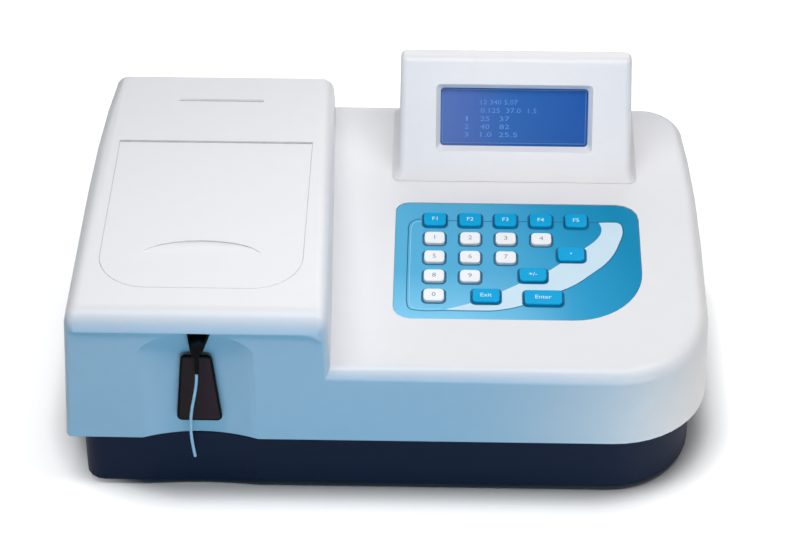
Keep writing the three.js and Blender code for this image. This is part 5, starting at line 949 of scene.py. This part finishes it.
# Copper tracks under the mask: a lighter green ladder of lines, 2.5 mm apart.
mask_place = add_node(solder_mask, "ShaderNodeTexCoord")
mask_tracks = add_node(solder_mask, "ShaderNodeTexBrick", {
    "Vector": mask_place.outputs["Object"], "Scale": 100.0, "Mortar Size": 0.03, "Mortar Smooth": 0.2,
    "Brick Width": 1.2, "Row Height": 0.25, "Color1": linear("#1a5236"), "Color2": linear("#1d5a3c"),
    "Mortar": linear("#3b8a5e")}, offset=0.5, squash=1.0)
mask_bump = add_node(solder_mask, "ShaderNodeBump", {
    "Height": mask_tracks.outputs["Fac"], "Strength": 0.1, "Distance": 0.0001})
finish_material(solder_mask, add_node(solder_mask, "ShaderNodeBsdfPrincipled", {
    "Base Color": mask_tracks.outputs["Color"], "Roughness": 0.35, "IOR": 1.5,
    "Normal": mask_bump.outputs["Normal"]}))
refine("keypad_board", "switch_board", solder_mask, 0.0)
control_board = refine("main_board", "control_board", solder_mask, 0.2)
# Moulded epoxy: a dull near-black, like slate.
chip_epoxy = grained("moulded_chip_epoxy", "#17181a", 0.55, 0.4, 0.1, IOR=1.55)
board_top = 13.6
paint(control_board, chip_epoxy, lambda centre, normal: centre.z > board_top)
# Zinc-coated sheet: a satin grey with the broad, cloudy spangle of the zinc.
folded_steel = grained("folded_zinc_sheet", "#b4b8bc", 0.36, 1.2, 0.08, tone=0.09, Metallic=1.0)
refine("power_supply", "supply_cage", folded_steel, 0.3)

# Fan: a moulded black frame and a seven-blade rotor of glass-filled nylon, behind the
# slots of the rear wall.
# Glass-filled nylon: a dry dark grey, rough where fibres reach the skin.
filled_nylon = grained("glass_filled_nylon", "#1b1c1e", 0.55, 0.7, 0.12, IOR=1.53)
refine("fan_frame", "fan_housing", filled_nylon, 0.4)
refine("fan_rotor", "fan_blades", filled_nylon, 0.2)

# Mains inlet: a black moulding with three nickel pins and the glossy power rocker beside
# them. It is pushed in from outside and held by the edge of its flange.
inlet = refine("power_inlet", "mains_inlet", black_abs, 0.25)
# Nickel plate: a slightly warm, nearly mirror-bright silver.
nickel_plate = grained("nickel_plated_brass", "#c6c1b4", 0.22, 0.6, 0.05, tone=0.05, Metallic=1.0)
pin_places = [(99.5, 23.5), (106.5, 28.0), (113.5, 23.5)]
pin_root, pin_half_width, pin_half_height = 123.0, 1.05, 2.05
paint(inlet, nickel_plate, lambda centre, normal: centre.y < pin_root and any(
    abs(centre.x - x) < pin_half_width and abs(centre.z - z) < pin_half_height for x, z in pin_places))
refine("power_rocker", "rocker_cap", gloss_black, 0.4)


# Serial socket: a nickel-plated D-shaped shell round a black block with nine holes, held
# by two threaded hexagonal posts.
def sink_face(piece, rim, depth, test):
    """Sinks the faces that pass the test, in from the rear wall, and leaves a rim round them."""
    pick_faces(piece, test)
    bpy.ops.mesh.inset(thickness=rim / 1000)
    bpy.ops.mesh.extrude_region_move(TRANSFORM_OT_translate={"value": (0, -depth / 1000, 0)})
    bpy.ops.object.mode_set(mode="OBJECT")


# Nickel over drawn steel: a plain bright silver.
shell_steel = grained("nickel_plated_shell", "#bcbdbb", 0.27, 0.8, 0.05, tone=0.05, Metallic=1.0)
socket_x, socket_z = 50.0, 25.0
lengthwise = (math.pi / 2, 0, 0)
serial = copy_of_solid("serial_port", "serial_shell")
sink_face(serial, 0.6, 4.5, lambda centre, normal: normal.y > 0.95 and centre.y > 133.0)
soften(serial, 0.12)
stand_for(serial, "serial_port", shell_steel)
insert_width, insert_depth, insert_height, insert_middle = 14.2, 4.0, 6.0, 130.6
insert = start_block("serial_insert", (insert_width, insert_depth, insert_height),
                     (socket_x, insert_middle, socket_z))
hole_radius, hole_pitch, row_pitch = 0.55, 2.77, 2.84
holes = [start_drum("hole", hole_radius, 6.0, (socket_x + (column - (4 - row) / 2) * hole_pitch, 132.0,
                                        socket_z + (0.5 - row) * row_pitch), lengthwise, sides=12)
         for row in (0, 1) for column in range(5 - row)]
carve(insert, join_pieces(holes, "holes"))
soften(insert, 0.2)
trim(insert, black_abs)
post_reach, post_radius, post_length, post_middle = 12.5, 2.6, 4.6, 130.1
for index, x in enumerate((socket_x - post_reach, socket_x + post_reach)):
    post = start_drum(f"serial_post_{index + 1}", post_radius, post_length, (x, post_middle, socket_z),
                      lengthwise, sides=6)
    sink_face(post, 1.2, 3.0, lambda centre, normal: normal.y > 0.9)
    soften(post, 0.15)
    trim(post, shell_steel)

# Waste fitting: a barbed nipple turned from natural acetal, screwed through the rear
# wall, where the tube to the waste bottle is pushed on.
refine("waste_fitting", "waste_barb", acetal, 0.25)
